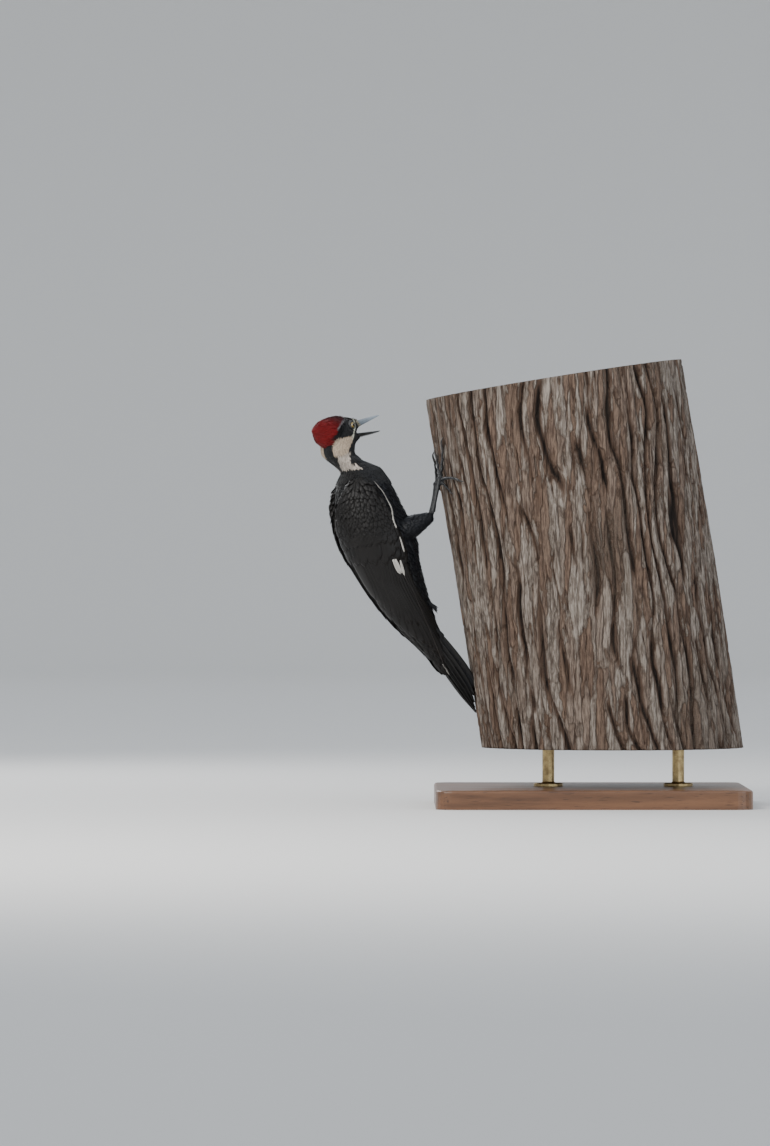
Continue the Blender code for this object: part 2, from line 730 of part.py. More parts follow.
def make_toes(side):
    hub = foot_hub(side)
    for toe in TOES:
        name, _, radius = toe[:3]
        path, hooked = toe_walk(side, toe)
        thick = []
        for i in range(TOE_RINGS):
            s = i / (TOE_RINGS - 1)
            pad = 1.0 + 0.10 * math.cos(6 * math.pi * s)
            thick.append(radius * MM * (1.0 - 0.32 * s) * pad)
        away = (path[0] - hub).normalized()
        path[0] = hub + away * (TARSUS_RADIUS * 1.35 + radius * MM * 0.5 + 4 * GAP)
        tube(f"toe_{name}_{SIDE_NAMES[side]}", path, thick, TOE_SIDES, "leg")
        onward = (hooked[0] - path[-1]).normalized()
        root = thick[-1]
        start = path[-1] + onward * (root * 0.45 + GAP * 1.5)
        claw_path = [start] + hooked[1:]
        claw_radii = []
        for i in range(CLAW_RINGS):
            left = 1 - i / (CLAW_RINGS - 1)
            claw_radii.append(max(root * 0.92 * left**0.8, CLAW_POINT))
        tube(f"claw_{name}_{SIDE_NAMES[side]}", claw_path, claw_radii, 6, "claw", blunt=False)


# ---------------------------------------------------------------- perch and stand


def log_piece(name, growth=0.0):
    """The cut length of trunk: its foot is level, and its top is square to its lean."""
    rings = []
    for i in range(LOG_RINGS + 1):
        ring = []
        for k in range(LOG_SIDES):
            bearing = 2 * math.pi * k / LOG_SIDES
            lowest = math.tan(LOG_LEAN) * math.cos(bearing) * LOG_RADIUS
            height = lowest + (LOG_TOP - lowest) * i / LOG_RINGS
            point = on_log(height, bearing, growth)
            if i == 0:
                point.z = LOG_FOOT.z
            ring.append(point)
        rings.append(ring)
    return object_from(name, skin_through(rings), "bark")


def make_base():
    bm = bmesh.new()
    bmesh.ops.create_cube(bm, size=1.0)
    bmesh.ops.scale(bm, vec=BASE_SIZE, verts=bm.verts[:])
    bmesh.ops.translate(bm, vec=(0, 0, BASE_SIZE.z / 2), verts=bm.verts[:])
    rounding = {"profile": 0.5, "affect": "EDGES", "material": -1}
    upright = [e for e in bm.edges if abs(e.verts[0].co.z - e.verts[1].co.z) > 0.5 * BASE_SIZE.z]
    bmesh.ops.bevel(bm, geom=upright, offset=BASE_CORNER, segments=6, **rounding)
    rim = [e for e in bm.edges if all(v.co.z > BASE_SIZE.z * 0.9 for v in e.verts)]
    bmesh.ops.bevel(bm, geom=rim, offset=BASE_EDGE, segments=3, **rounding)
    return object_from("stand_base", bm, "stand_wood")


def make_rod(number, offset):
    """A turned rod with a round flange at its foot, standing between base and trunk."""
    top = BASE_SIZE.z + ROD_HEIGHT - GAP
    bottom = BASE_SIZE.z + GAP
    shoulder = bottom + ROD_FLANGE_HEIGHT
    profile = (
        (ROD_FLANGE_RADIUS, bottom),
        (ROD_FLANGE_RADIUS, shoulder - ROD_EASE),
        (ROD_FLANGE_RADIUS - ROD_EASE, shoulder),
        (ROD_RADIUS + ROD_EASE, shoulder),
        (ROD_RADIUS, shoulder + ROD_EASE),
        (ROD_RADIUS, top),
    )
    at = Vector((LOG_FOOT.x + offset, LOG_FOOT.y, 0))
    rings = []
    for radius, z in profile:
        ring = []
        for k in range(ROD_SIDES):
            angle = 2 * math.pi * k / ROD_SIDES
            ring.append(at + Vector((radius * math.cos(angle), radius * math.sin(angle), z)))
        rings.append(ring)
    return object_from(f"stand_rod_{number}", skin_through(rings), "stand_metal")


def main():
    clear_scene()
    body_piece("trunk", 0, NECK_START, TORSO_STEPS, TORSO_SIDES, "plumage", trim=(False, True))
    body_piece("neck", NECK_START, HEAD_START, 3, HEAD_SIDES, "face")
    make_head()
    crest_piece()
    bill_half("bill_upper", lower=False)
    bill_half("bill_lower", lower=True)
    make_tail()
    for side in (-1, 1):
        wing_piece(f"wing_{SIDE_NAMES[side]}", side)
        make_thigh(side)
        make_tarsus(side)
        make_toes(side)
    log_piece("perch_log")
    make_base()
    for number, offset in enumerate((-ROD_SPREAD, ROD_SPREAD), start=1):
        make_rod(number, offset)


main()
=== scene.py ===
# %% [markdown]
# # A pileated woodpecker on a cut length of trunk
# A museum model of a clinging bird. The solids of its body are already made and packed, and this notebook
# gives them their looks: one skin, thousands of feathers, horn, scales, bark, wood and brass. Each step says
# what the piece is on the real bird, how it could be made, and why it is made this way.
#
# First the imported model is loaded. Every later piece takes its place from it, so it comes before all else.

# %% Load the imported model
import math

import bmesh
import bpy
import numpy as np
from mathutils import Matrix, Vector
from mathutils.bvhtree import BVHTree


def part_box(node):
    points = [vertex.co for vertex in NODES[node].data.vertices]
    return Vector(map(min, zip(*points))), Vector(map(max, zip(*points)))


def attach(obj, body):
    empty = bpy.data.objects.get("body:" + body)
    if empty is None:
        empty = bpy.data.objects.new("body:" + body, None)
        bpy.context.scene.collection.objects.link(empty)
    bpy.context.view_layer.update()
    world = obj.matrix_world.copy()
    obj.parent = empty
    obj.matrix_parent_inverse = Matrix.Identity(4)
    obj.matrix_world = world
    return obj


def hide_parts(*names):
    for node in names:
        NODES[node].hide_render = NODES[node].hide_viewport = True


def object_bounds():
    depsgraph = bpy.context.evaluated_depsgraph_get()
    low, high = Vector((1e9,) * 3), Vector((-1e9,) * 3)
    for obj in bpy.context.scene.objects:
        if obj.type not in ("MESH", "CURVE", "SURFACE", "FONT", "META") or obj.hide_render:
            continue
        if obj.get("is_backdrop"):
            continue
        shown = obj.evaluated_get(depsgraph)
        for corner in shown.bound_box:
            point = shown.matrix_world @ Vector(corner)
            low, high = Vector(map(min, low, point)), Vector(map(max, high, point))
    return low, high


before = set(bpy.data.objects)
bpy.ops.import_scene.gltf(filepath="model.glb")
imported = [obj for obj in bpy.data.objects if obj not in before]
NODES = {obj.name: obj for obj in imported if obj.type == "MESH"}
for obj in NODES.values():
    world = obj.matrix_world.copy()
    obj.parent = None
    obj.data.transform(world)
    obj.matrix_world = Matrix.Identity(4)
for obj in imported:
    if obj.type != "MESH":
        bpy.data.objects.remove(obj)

CAD_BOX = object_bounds()
MM = 0.001
chance = np.random.default_rng(7)
print(len(NODES), "solids; the whole box is", [round(x, 4) for p in CAD_BOX for x in p])

# %% [markdown]
# ## Frames to work in
# A clinging bird is easier to describe in its own directions: forwards, to its left, and up. The head is
# turned away from the body, so it has directions of its own. Blender keeps everything in one frame, so a
# matrix turns each of these two into the model's frame and back. The eyes' boxes prove that they are right.

# %% The bird's frame and the head's frame
BODY_AT = Vector((-0.2358, -0.033, 0.2717))
BODY_YAW = math.radians(16.0)
HEAD_AT = Vector((-50.7, 5.0, 160.7))
HEAD_YAW = math.radians(33.0)
HEAD_PITCH = math.radians(18.5)
EYE_AT = (3.5, 10.6, 5.0)

BIRD = Matrix.Translation(BODY_AT) @ Matrix.Rotation(BODY_YAW, 4, "Z") @ Matrix.Scale(MM, 4)
HEAD_TURN = Matrix.Rotation(HEAD_YAW, 4, "Z") @ Matrix.Rotation(-HEAD_PITCH, 4, "Y")
HEAD = BIRD @ Matrix.Translation(HEAD_AT) @ HEAD_TURN
BODY_FORWARD = np.array(BIRD.col[0][:3]) / MM
HEAD_FORWARD = np.array(HEAD.col[0][:3]) / MM


def through(matrix, points):
    """Points (rows of x, y, z) taken through a matrix."""
    m = np.array(matrix)
    return np.asarray(points, float) @ m[:3, :3].T + m[:3, 3]


def middle(node):
    low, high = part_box(node)
    return (low + high) / 2


for side, node in ((-1, "eye_right"), (1, "eye_left")):
    here = HEAD @ Vector((EYE_AT[0], side * EYE_AT[1], EYE_AT[2]))
    print(node, "is", round((here - middle(node)).length / MM, 2), "mm from where the head's frame puts it")

# %% [markdown]
# ## One skin
# Under its feathers a bird is one unbroken surface, from the bill's root to the toes. The solids are parted
# by thin gaps. They could be joined one by one with Booleans, but a voxel remesh melts them all together in
# one go, and gives even faces to grow feathers on. Each solid is swollen a little first, so that the gaps
# close, and a ball goes where the toes meet the leg.

# %% Join the solids of flesh
FLESH = [n for n in NODES if n in ("trunk", "neck", "head", "crest", "tail")]
FLESH += [n for n in NODES if n.startswith(("wing_", "thigh_", "tarsus_", "toe_"))]
SWELL = 0.25 * MM
FOOT_BALL = 4.3 * MM


def foot_centre(side_name):
    """Where the toes meet: the upper end of the tarsus."""
    places = np.array([v.co for v in NODES[f"tarsus_{side_name}"].data.vertices])
    top = places[:, 2].max()
    return Vector(places[places[:, 2] > top - 3 * MM].mean(0))


flesh = bmesh.new()
owners = []
for name in FLESH:
    lump = bmesh.new()
    lump.from_mesh(NODES[name].data)
    bmesh.ops.remove_doubles(lump, verts=lump.verts[:], dist=0.01 * MM)
    lump.normal_update()
    for vert in lump.verts:
        vert.co += vert.normal * SWELL
    swollen = bpy.data.meshes.new("swollen")
    lump.to_mesh(swollen)
    owners += [name] * len(lump.faces)
    lump.free()
    flesh.from_mesh(swollen)
    bpy.data.meshes.remove(swollen)
for side_name in ("right", "left"):
    ball = bmesh.ops.create_icosphere(flesh, subdivisions=2, radius=FOOT_BALL)
    bmesh.ops.translate(flesh, verts=ball["verts"], vec=foot_centre(side_name))
owners += ["toe_ball"] * (len(flesh.faces) - len(owners))
flesh_tree = BVHTree.FromBMesh(flesh)
print(len(FLESH), "solids of flesh,", len(flesh.faces), "faces")


# %% Melt them into one skin
def new_object(name, mesh):
    made = bpy.data.objects.new(name, mesh)
    bpy.context.scene.collection.objects.link(made)
    return made


def object_from(name, bm, *materials):
    """An object of what was built in a bmesh, smoothly shaded."""
    mesh = bpy.data.meshes.new(name)
    bm.to_mesh(mesh)
    bm.free()
    mesh.shade_smooth()
    for material in materials:
        mesh.materials.append(material)
    return new_object(name, mesh)


def finished_mesh(obj):
    """The mesh as its modifiers leave it."""
    graph = bpy.context.evaluated_depsgraph_get()
    mesh = bpy.data.meshes.new_from_object(obj.evaluated_get(graph))
    obj.modifiers.clear()
    old = obj.data
    obj.data = mesh
    bpy.data.meshes.remove(old)
    return mesh


VOXEL = 0.95 * MM
SKIN_SHARE = 0.42  # of the melted faces that are kept

joined = bpy.data.meshes.new("skin")
flesh.to_mesh(joined)
flesh.free()
skin = new_object("skin", joined)
melt = skin.modifiers.new("melt", "REMESH")
melt.mode = "VOXEL"
melt.voxel_size = VOXEL
ease = skin.modifiers.new("ease", "SMOOTH")
ease.factor = 0.5
ease.iterations = 7
thin_out = skin.modifiers.new("thin_out", "DECIMATE")
thin_out.ratio = SKIN_SHARE
finished_mesh(skin)
facets = bmesh.new()
facets.from_mesh(skin.data)
bmesh.ops.triangulate(facets, faces=facets.faces[:])

# the remesh leaves closed crumbs inside, which no feather needs: only the largest lump stays
unseen = set(facets.verts)
lumps = []
while unseen:
    todo = [unseen.pop()]
    lump = []
    while todo:
        vert = todo.pop()
        lump.append(vert)
        near = {edge.other_vert(vert) for edge in vert.link_edges} & unseen
        unseen -= near
        todo.extend(near)
    lumps.append(lump)
lumps.sort(key=len)
crumbs = [vert for lump in lumps[:-1] for vert in lump]
bmesh.ops.delete(facets, geom=crumbs, context="VERTS")
facets.to_mesh(skin.data)
facets.free()
print(len(crumbs), "points of inner crumbs removed")
print("skin:", len(skin.data.vertices), "points,", len(skin.data.polygons), "faces")

# %% [markdown]
# The solids reach out to the tips of the feathers, so the skin has to lie deeper, by the depth of the coat:
# little on the feet and the face, most on the crest and the breast. A wing or a tail is thin, and would turn
# inside out, so a ray sent inwards measures the wall first, and the skin never sinks further than a third
# of it.

# %% Sink the skin by the coat's depth
COAT_DEPTH = {
    "trunk": 2.6,
    "neck": 2.0,
    "head": 1.2,
    "crest": 2.6,
    "tail": 0.7,
    "wing": 2.1,
    "thigh": 1.8,
    "tarsus": 0.2,
    "toe": 0.2,
}
WALL_SHARE = 0.33  # of the wall's thickness that the skin may sink


def kind(node):
    return node.split("_")[0]


def nearest_kinds(points):
    """For each point, the kind of solid that it lies on."""
    return np.array([kind(owners[flesh_tree.find_nearest(Vector(p))[2]]) for p in points])


def rows_of(items, label, width, form=float):
    """One value of every item, as the rows of an array."""
    values = np.empty(len(items) * width, form)
    items.foreach_get(label, values)
    return values.reshape(-1, width)


def unit(vectors):
    """Vectors of length one."""
    return vectors / np.linalg.norm(vectors, axis=-1, keepdims=True).clip(1e-12)


def evened(values, ends, rounds):
    """Each value drawn towards its neighbours' average, a few times over, along the edges."""
    values = np.array(values, float)
    flat = values.reshape(len(values), -1)
    both = np.concatenate([ends, ends[:, ::-1]])
    count = np.bincount(both[:, 0], minlength=len(flat))[:, None].clip(1)
    for _ in range(rounds):
        total = np.stack([np.bincount(both[:, 0], column[both[:, 1]], len(flat)) for column in flat.T], 1)
        flat = 0.4 * flat + 0.6 * total / count
    return flat.reshape(values.shape)


# %% Measure the wall and sink
places = rows_of(skin.data.vertices, "co", 3)
ends = rows_of(skin.data.edges, "vertices", 2, int)
broad_normals = unit(evened(rows_of(skin.data.vertex_normals, "vector", 3), ends, 6))
skin_kinds = nearest_kinds(places)
depth = np.array([COAT_DEPTH[k] for k in skin_kinds]) * MM + SWELL
wall_tree = BVHTree.FromPolygons(places.tolist(), [tuple(p.vertices) for p in skin.data.polygons])
wall = np.empty(len(places))
for i, (place, normal) in enumerate(zip(places, broad_normals)):
    far = wall_tree.ray_cast(Vector(place - normal * 0.2 * MM), Vector(-normal))[3]
    wall[i] = far or 1.0
depth = np.minimum(depth, WALL_SHARE * wall)
depth = evened(depth, ends, 6)
places = places - broad_normals * depth[:, None]
skin.data.vertices.foreach_set("co", places.ravel())
skin.data.update()
skin.data.shade_smooth()
print("coat depth:", round(depth.min() / MM, 2), "to", round(depth.max() / MM, 2), "mm")

# %% [markdown]
# ## A map of the skin
# So that the colours of the finished coat can be baked, each feather has to know its own spot on a flat map of
# the skin. Smart UV Project cuts the skin into flat islands by its own shape. The map is read here once for
# each face, and every feather is given a tiny patch at its root's place.

# %% Unwrap the skin and index it
BAKE_MAP = "OFBake"
bpy.ops.object.select_all(action="DESELECT")
skin.select_set(True)
bpy.context.view_layer.objects.active = skin
skin.data.uv_layers.new(name=BAKE_MAP)
bpy.ops.object.mode_set(mode="EDIT")
bpy.ops.mesh.select_all(action="SELECT")
bpy.ops.uv.smart_project(angle_limit=math.radians(66), island_margin=0.002)
bpy.ops.object.mode_set(mode="OBJECT")

corners = rows_of(skin.data.polygons, "vertices", 3, int)
face_uv = rows_of(skin.data.uv_layers[BAKE_MAP].data, "uv", 2).reshape(-1, 3, 2).mean(1)
skin_tree = BVHTree.FromPolygons(places.tolist(), corners.tolist())
broad_normals = evened(rows_of(skin.data.vertex_normals, "vector", 3), ends, 12)
face_normal = unit(broad_normals[corners].mean(1))
edge_a = places[corners[:, 1]] - places[corners[:, 0]]
edge_b = places[corners[:, 2]] - places[corners[:, 0]]
face_area = np.linalg.norm(np.cross(edge_a, edge_b), axis=1) / 2
face_middle = places[corners].mean(1)
face_kind = skin_kinds[corners[:, 0]]
print("skin area", round(face_area.sum() * 1e4), "cm2")


def on_skin(points):
    """The nearest points on the skin, with the smooth outward direction and the face there."""
    found, faces = np.empty((len(points), 3)), np.empty(len(points), int)
    for i, point in enumerate(points):
        place, _, face, _ = skin_tree.find_nearest(Vector(point))
        found[i], faces[i] = place, face
    return found, face_normal[faces], faces


# %% [markdown]
# ## The markings
# Skin and feathers wear the same pattern, so it is one function of place, written in the head's and the
# bird's own directions, and not a picture. A female has a dark forehead, a red crest from the middle of the
# crown, a black mask through the eye under a thin pale brow, and a white stripe from the bill's root over
# the cheek and down the side of the neck. The edges of the pattern are short lists of forward and height.

# %% Colours and edges of the pattern
# the blacks are darker than black plumage's own colour: the extra darkness is painted shade
BACK_BLACK = np.array((0.0047, 0.0044, 0.0043))
BREAST_BLACK = np.array((0.0042, 0.0050, 0.0070))
WING_BLACK = np.array((0.0057, 0.0049, 0.0045))
MASK_BLACK = np.array((0.0050, 0.0054, 0.0064))
CREST_RED = np.array((0.140, 0.0014, 0.0024))
DEEP_RED = np.array((0.030, 0.0020, 0.0026))
FOREHEAD = np.array((0.012, 0.009, 0.007))
CHEEK = np.array((0.440, 0.350, 0.262))
NECK_WHITE = np.array((0.400, 0.350, 0.300))
BROW = np.array((0.170, 0.155, 0.160))
LORE = np.array((0.520, 0.520, 0.430))
LEG_GREY = np.array((0.014, 0.015, 0.017))
MOUTH = np.array((0.030, 0.022, 0.022))

# edges of the pattern on the head: forward and height, in the head's frame
RED_EDGE = (
    *((-45, -9), (-41, -9), (-38, -6), (-34, -1), (-28, 4)),
    *((-21.7, 9.4), (-13.6, 12.4), (1.8, 15.0), (7, 17)),
)
WHITE_TOP = (
    *((-40, -3), (-36, -0.5), (-29, -0.5), (-24, -3.5), (-9, -5.6)),
    *((-3, -6.4), (4, 0.6), (13.4, 7.8), (24, 10)),
)
WHITE_FOOT = ((-20, -40), (-17.5, -22), (-11, -16.5), (-2.5, -10.5), (3.8, -3.0), (13.4, 4.8), (24, 6.5))
BROW_WIDTH = 1.9
NAPE_SHIFT = 3.5
NAPE_HALF = 5.2
NECK_AXIS = Vector((-49.5, 0.0, 126.0))
# height on the neck, and the angle round it at which the stripe's front edge runs
NECK_FRONT = (
    *((110, 52), (116, 57), (118.2, 61), (119.6, 73), (121.5, 89)),
    *((124, 96), (128, 100), (134, 100), (140, 97)),
)
NECK_REAR = 150.0
NECK_FOOT = 112.8
print("colours and edges of the pattern set")


# %% Paint by place
def line(points, at):
    """Height of an edge of the pattern, read from its few points."""
    along, up = np.array(points, float).T
    return np.interp(at, along, up)


def soft(value, width):
    """0 below nothing, 1 above, turning over within the width."""
    t = np.clip(value / width + 0.5, 0, 1)
    return t * t * (3 - 2 * t)


def over(base, colour, amount):
    return base + (np.asarray(colour) - base) * np.clip(amount, 0, 1)[:, None]


def markings(points, width=0.8):
    """The colour of skin or feather at each point."""
    x, y, z = through(BIRD.inverted(), points).T
    f, l, u = through(HEAD.inverted(), points).T
    colour = np.tile(BACK_BLACK, (len(x), 1))
    colour = over(colour, BREAST_BLACK, soft(x - (20 - 0.52 * z), 24))
    # neck, by the angle round it from the front
    turn = HEAD_YAW * np.clip((z - 108) / 40, 0, 1)
    dx, dy = x - NECK_AXIS.x - (z - NECK_AXIS.z) * 0.12, y - NECK_AXIS.y - np.clip(z - 118, 0, 40) * 0.06
    ahead = dx * np.cos(turn) + dy * np.sin(turn)
    aside = -dx * np.sin(turn) + dy * np.cos(turn)
    angle = np.degrees(np.arctan2(np.abs(aside + 2.0 * (ahead < 0)), ahead))
    radius = np.hypot(ahead, aside) + 1
    in_stripe = soft((angle - line(NECK_FRONT, z)) * radius * math.radians(1), width)
    in_stripe *= soft((NECK_REAR - angle) * radius * math.radians(1), width)
    in_stripe *= soft(z - NECK_FOOT - 0.022 * (150 - angle), width)
    colour = over(colour, NECK_WHITE, in_stripe)
    # head
    on_head = soft(u + 23, 3)
    head = np.tile(MASK_BLACK, (len(x), 1))
    red_edge = line(RED_EDGE, f)
    head = over(head, BROW, soft(u - red_edge + BROW_WIDTH, width) * soft(f + 24, 3) * soft(4 - f, 3))
    head = over(head, FOREHEAD, soft(u - line(WHITE_TOP, f) - 3, 2) * soft(f - 5, 3))
    white = soft(line(WHITE_TOP, f) - u, width) * soft(u - line(WHITE_FOOT, f), width)
    white *= 1 - soft(NAPE_HALF - np.abs(l + NAPE_SHIFT), width) * (f < -16)
    white *= soft(np.abs(l) - 2.0, width) + (f < 16)
    pale = over(np.tile(CHEEK, (len(x), 1)), LORE, soft(f + 4, 4))
    head = head + (pale - head) * np.clip(white, 0, 1)[:, None]
    chin = soft(3.0 - np.abs(l), width) * soft(-16.5 - u, 1) * soft(f + 2, 3)
    head = over(head, CHEEK, chin)
    red = soft(u - red_edge, width) * soft(5.5 - f, 2)
    deep = soft(f + 17 + 0.6 * (u - 12), 26)
    reds = over(np.tile(CREST_RED, (len(x), 1)), DEEP_RED, 0.85 * deep)
    head = head + (reds - head) * red[:, None]
    colour = colour + (head - colour) * on_head[:, None]
    return colour


# %% [markdown]
# ## Materials of feather, horn and skin
# A feather's colour comes from the markings, which are stored on the mesh as an attribute. The barbs, the
# shaft and the paler rim follow the feather itself, so they read a small map of its own, across and along.
# That pattern is used by every kind of plumage, so it is one node group, and each material sets its gloss.


# %% Node helpers
def new_group(name, inputs, outputs):
    group = bpy.data.node_groups.new(name, "ShaderNodeTree")
    for label, value in inputs.items():
        form = "NodeSocketColor" if isinstance(value, tuple) else "NodeSocketFloat"
        socket = group.interface.new_socket(label, in_out="INPUT", socket_type=form)
        socket.default_value = value
    for label, form in outputs.items():
        group.interface.new_socket(label, in_out="OUTPUT", socket_type=form)
    start = group.nodes.new("NodeGroupInput")
    finish = group.nodes.new("NodeGroupOutput")
    return group, start, finish


class Bench:
    """Adds nodes to a tree and joins them in one call."""

    def __init__(self, tree):
        self.tree = tree

    def put(self, kind_of_node, settings=None, **inputs):
        """A node. Inputs are named by label, or by i and a number. A socket is joined, a value is set."""
        node = self.tree.nodes.new(kind_of_node)
        for key, value in (settings or {}).items():
            setattr(node, key, value)
        for key, value in inputs.items():
            numbered = key[0] == "i" and key[1:].isdigit()
            socket = node.inputs[int(key[1:]) if numbered else key.replace("_", " ")]
            if isinstance(value, bpy.types.NodeSocket):
                self.tree.links.new(value, socket)
            else:
                socket.default_value = value
        return node

    def sum(self, operation, first, second=0.0, third=0.0):
        return self.put("ShaderNodeMath", {"operation": operation}, i0=first, i1=second, i2=third).outputs[0]

    def mix(self, amount, first, second, blend="MIX"):
        settings = {"data_type": "RGBA", "blend_type": blend}
        return self.put("ShaderNodeMix", settings, i0=amount, i6=first, i7=second).outputs[2]

    def range(self, value, low, high, to_low=0.0, to_high=1.0):
        settings = {"interpolation_type": "SMOOTHSTEP"}
        node = self.put("ShaderNodeMapRange", settings, i0=value, i1=low, i2=high, i3=to_low, i4=to_high)
        return node.outputs[0]

    def noise(self, vector, scale, detail=3.0, roughness=0.55):
        node = self.put("ShaderNodeTexNoise", i0=vector, Scale=scale, Detail=detail, Roughness=roughness)
        return node.outputs["Fac"]

    def scaled(self, vector, scale, turn=(0, 0, 0), shift=(0, 0, 0)):
        node = self.put("ShaderNodeMapping", i0=vector, Location=shift, Rotation=turn, Scale=scale)
        return node.outputs[0]

    def space(self):
        """Places in the model's own frame, in metres."""
        return self.put("ShaderNodeTexCoord").outputs["Object"]

    def kept(self, attribute, output="Fac"):
        """What a mesh keeps for each point under a name."""
        return self.put("ShaderNodeAttribute", {"attribute_name": attribute}).outputs[output]

    def finish(self, colour, height=None, strength=0.25, distance=0.0002, roughness=None):
        """Joins a colour, and if given the bump's height and a roughness, to the material's shader."""
        shader = self.tree.nodes["Principled BSDF"]
        self.tree.links.new(colour, shader.inputs["Base Color"])
        if height is not None:
            bump = self.put("ShaderNodeBump", Height=height, Strength=strength, Distance=distance)
            self.tree.links.new(bump.outputs[0], shader.inputs["Normal"])
        if roughness is not None:
            self.tree.links.new(roughness, shader.inputs["Roughness"])


def new_material(name, **sockets):
    """A material with its Principled BSDF's own sockets set, and a bench to build on."""
    made = bpy.data.materials.new(name)
    made.use_nodes = True
    shader = made.node_tree.nodes["Principled BSDF"]
    for label, value in sockets.items():
        shader.inputs[label.replace("_", " ")].default_value = value
    return made, Bench(made.node_tree)


# %% [markdown]
# A barb runs out from the shaft at a slant, so the streaks are noise stretched along that slant. The same
# noise, with the shaft as a ridge, is the height of a fine bump. The rim and the tip are a little paler.

# %% The barb pattern
barbs, start, finish = new_group(
    "feather_barbs",
    {"Colour": (0.5, 0.5, 0.5, 1.0), "Rim": 0.5, "Streak": 0.5},
    {"Colour": "NodeSocketColor", "Height": "NodeSocketFloat"},
)
bench = Bench(barbs)
vane_map = bench.put("ShaderNodeUVMap", {"uv_map": "Vane"}).outputs[0]
split = bench.put("ShaderNodeSeparateXYZ", i0=vane_map)
across = bench.sum("ABSOLUTE", bench.sum("MULTIPLY_ADD", split.outputs[0], 2.0, -1.0))
onward = bench.sum("MULTIPLY", split.outputs[1], 34.0)
slant = bench.sum("SUBTRACT", onward, bench.sum("MULTIPLY", across, 9.0))
comb = bench.put("ShaderNodeCombineXYZ", i0=bench.sum("MULTIPLY", split.outputs[0], 1.6), i1=slant)
strand = bench.noise(comb.outputs[0], 1.3, 4.0, 0.7)
shade = bench.sum("MULTIPLY_ADD", bench.sum("SUBTRACT", strand, 0.5), start.outputs["Streak"], 1.0)
shaft = bench.range(across, 0.10, 0.0)
rim = bench.range(across, 0.62, 1.0)
tip = bench.range(split.outputs[1], 0.86, 1.0)
edge = bench.sum("MULTIPLY", bench.sum("MAXIMUM", rim, tip), start.outputs["Rim"])
streaked = bench.put("ShaderNodeVectorMath", {"operation": "SCALE"}, i0=start.outputs["Colour"], Scale=shade)
streaked = streaked.outputs[0]
brighter, floor_of_light = (1.7, 1.7, 1.7), (0.003, 0.003, 0.003)
more = {"operation": "MULTIPLY_ADD"}
lighter = bench.put("ShaderNodeVectorMath", more, i0=streaked, i1=brighter, i2=floor_of_light)
barbs.links.new(bench.mix(edge, streaked, lighter.outputs[0]), finish.inputs["Colour"])
height = bench.sum("ADD", strand, bench.sum("MULTIPLY", shaft, 0.8))
barbs.links.new(height, finish.inputs["Height"])
print("barb pattern of", len(barbs.nodes), "nodes")


# %% Plumage materials
def plumage_material(name, rim_amount, streak_amount, **sockets):
    """Plumage with the barbs' pattern. The amounts are those of the pale rim and of the streaks."""
    made, bench = new_material(name, **sockets)
    amounts = {"Colour": bench.kept("Coat", "Color"), "Rim": rim_amount, "Streak": streak_amount}
    pattern = bench.put("ShaderNodeGroup", {"node_tree": barbs}, **amounts)
    bench.finish(pattern.outputs["Colour"], pattern.outputs["Height"])
    return made


BODY_PLUMAGE = plumage_material(
    "body_plumage", 0.35, 0.9, Roughness=0.5, Specular_IOR_Level=0.21, Sheen_Weight=0.012, Sheen_Roughness=0.4
)
WING_PLUMAGE = plumage_material(
    "wing_plumage", 0.75, 0.7, Roughness=0.46, Specular_IOR_Level=0.23, Sheen_Weight=0.01, Sheen_Roughness=0.4
)
CREST_PLUMAGE = plumage_material(
    *("crest_plumage", 0.25, 0.8),
    **{"Roughness": 0.55, "Specular_IOR_Level": 0.25, "Sheen_Weight": 0.03, "Sheen_Roughness": 0.5},
)
FACE_PLUMAGE = plumage_material(
    "face_plumage", 0.15, 0.6, Roughness=0.7, Specular_IOR_Level=0.3, Sheen_Weight=0.08, Sheen_Roughness=0.5
)
print("plumage materials made")

# %% [markdown]
# The skin itself shows only between feathers and on the feet. It carries the same markings, with a finely
# pebbled surface, and turns to grey scaly leather on the legs.


# %% The skin's colour and material
def store_colour(mesh, colours):
    """Keeps a colour for each point as the attribute that the materials read."""
    attribute = mesh.attributes.new("Coat", "FLOAT_COLOR", "POINT")
    packed = np.ones((len(colours), 4), np.float32)
    packed[:, :3] = colours
    attribute.data.foreach_set("color", packed.ravel())


MOUTH_LINE = -3.0
JAW_HINGE = -12.0
GAPE_ANGLE = math.radians(13.0)
GAPE = math.tan(GAPE_ANGLE)


def in_gape(points):
    """1 for points inside the open mouth, between the upper bill's edge and the dropped lower one."""
    f, _, u = through(HEAD.inverted(), points).T
    floor = MOUTH_LINE - GAPE * (f - JAW_HINGE)
    return soft(f - 8.8, 0.8) * soft(MOUTH_LINE + 0.7 - u, 0.6) * soft(u - floor + 0.7, 0.6)


skin_colours = markings(places)
on_leg = evened(np.isin(skin_kinds, ("tarsus", "toe")).astype(float), ends, 3)
skin_colours = skin_colours + (LEG_GREY - skin_colours) * on_leg[:, None]
on_wing = evened((skin_kinds == "wing").astype(float), ends, 3)
skin_colours = skin_colours + (WING_BLACK - skin_colours) * on_wing[:, None]
skin_colours = skin_colours + (MOUTH - skin_colours) * in_gape(places)[:, None]
store_colour(skin.data, skin_colours)

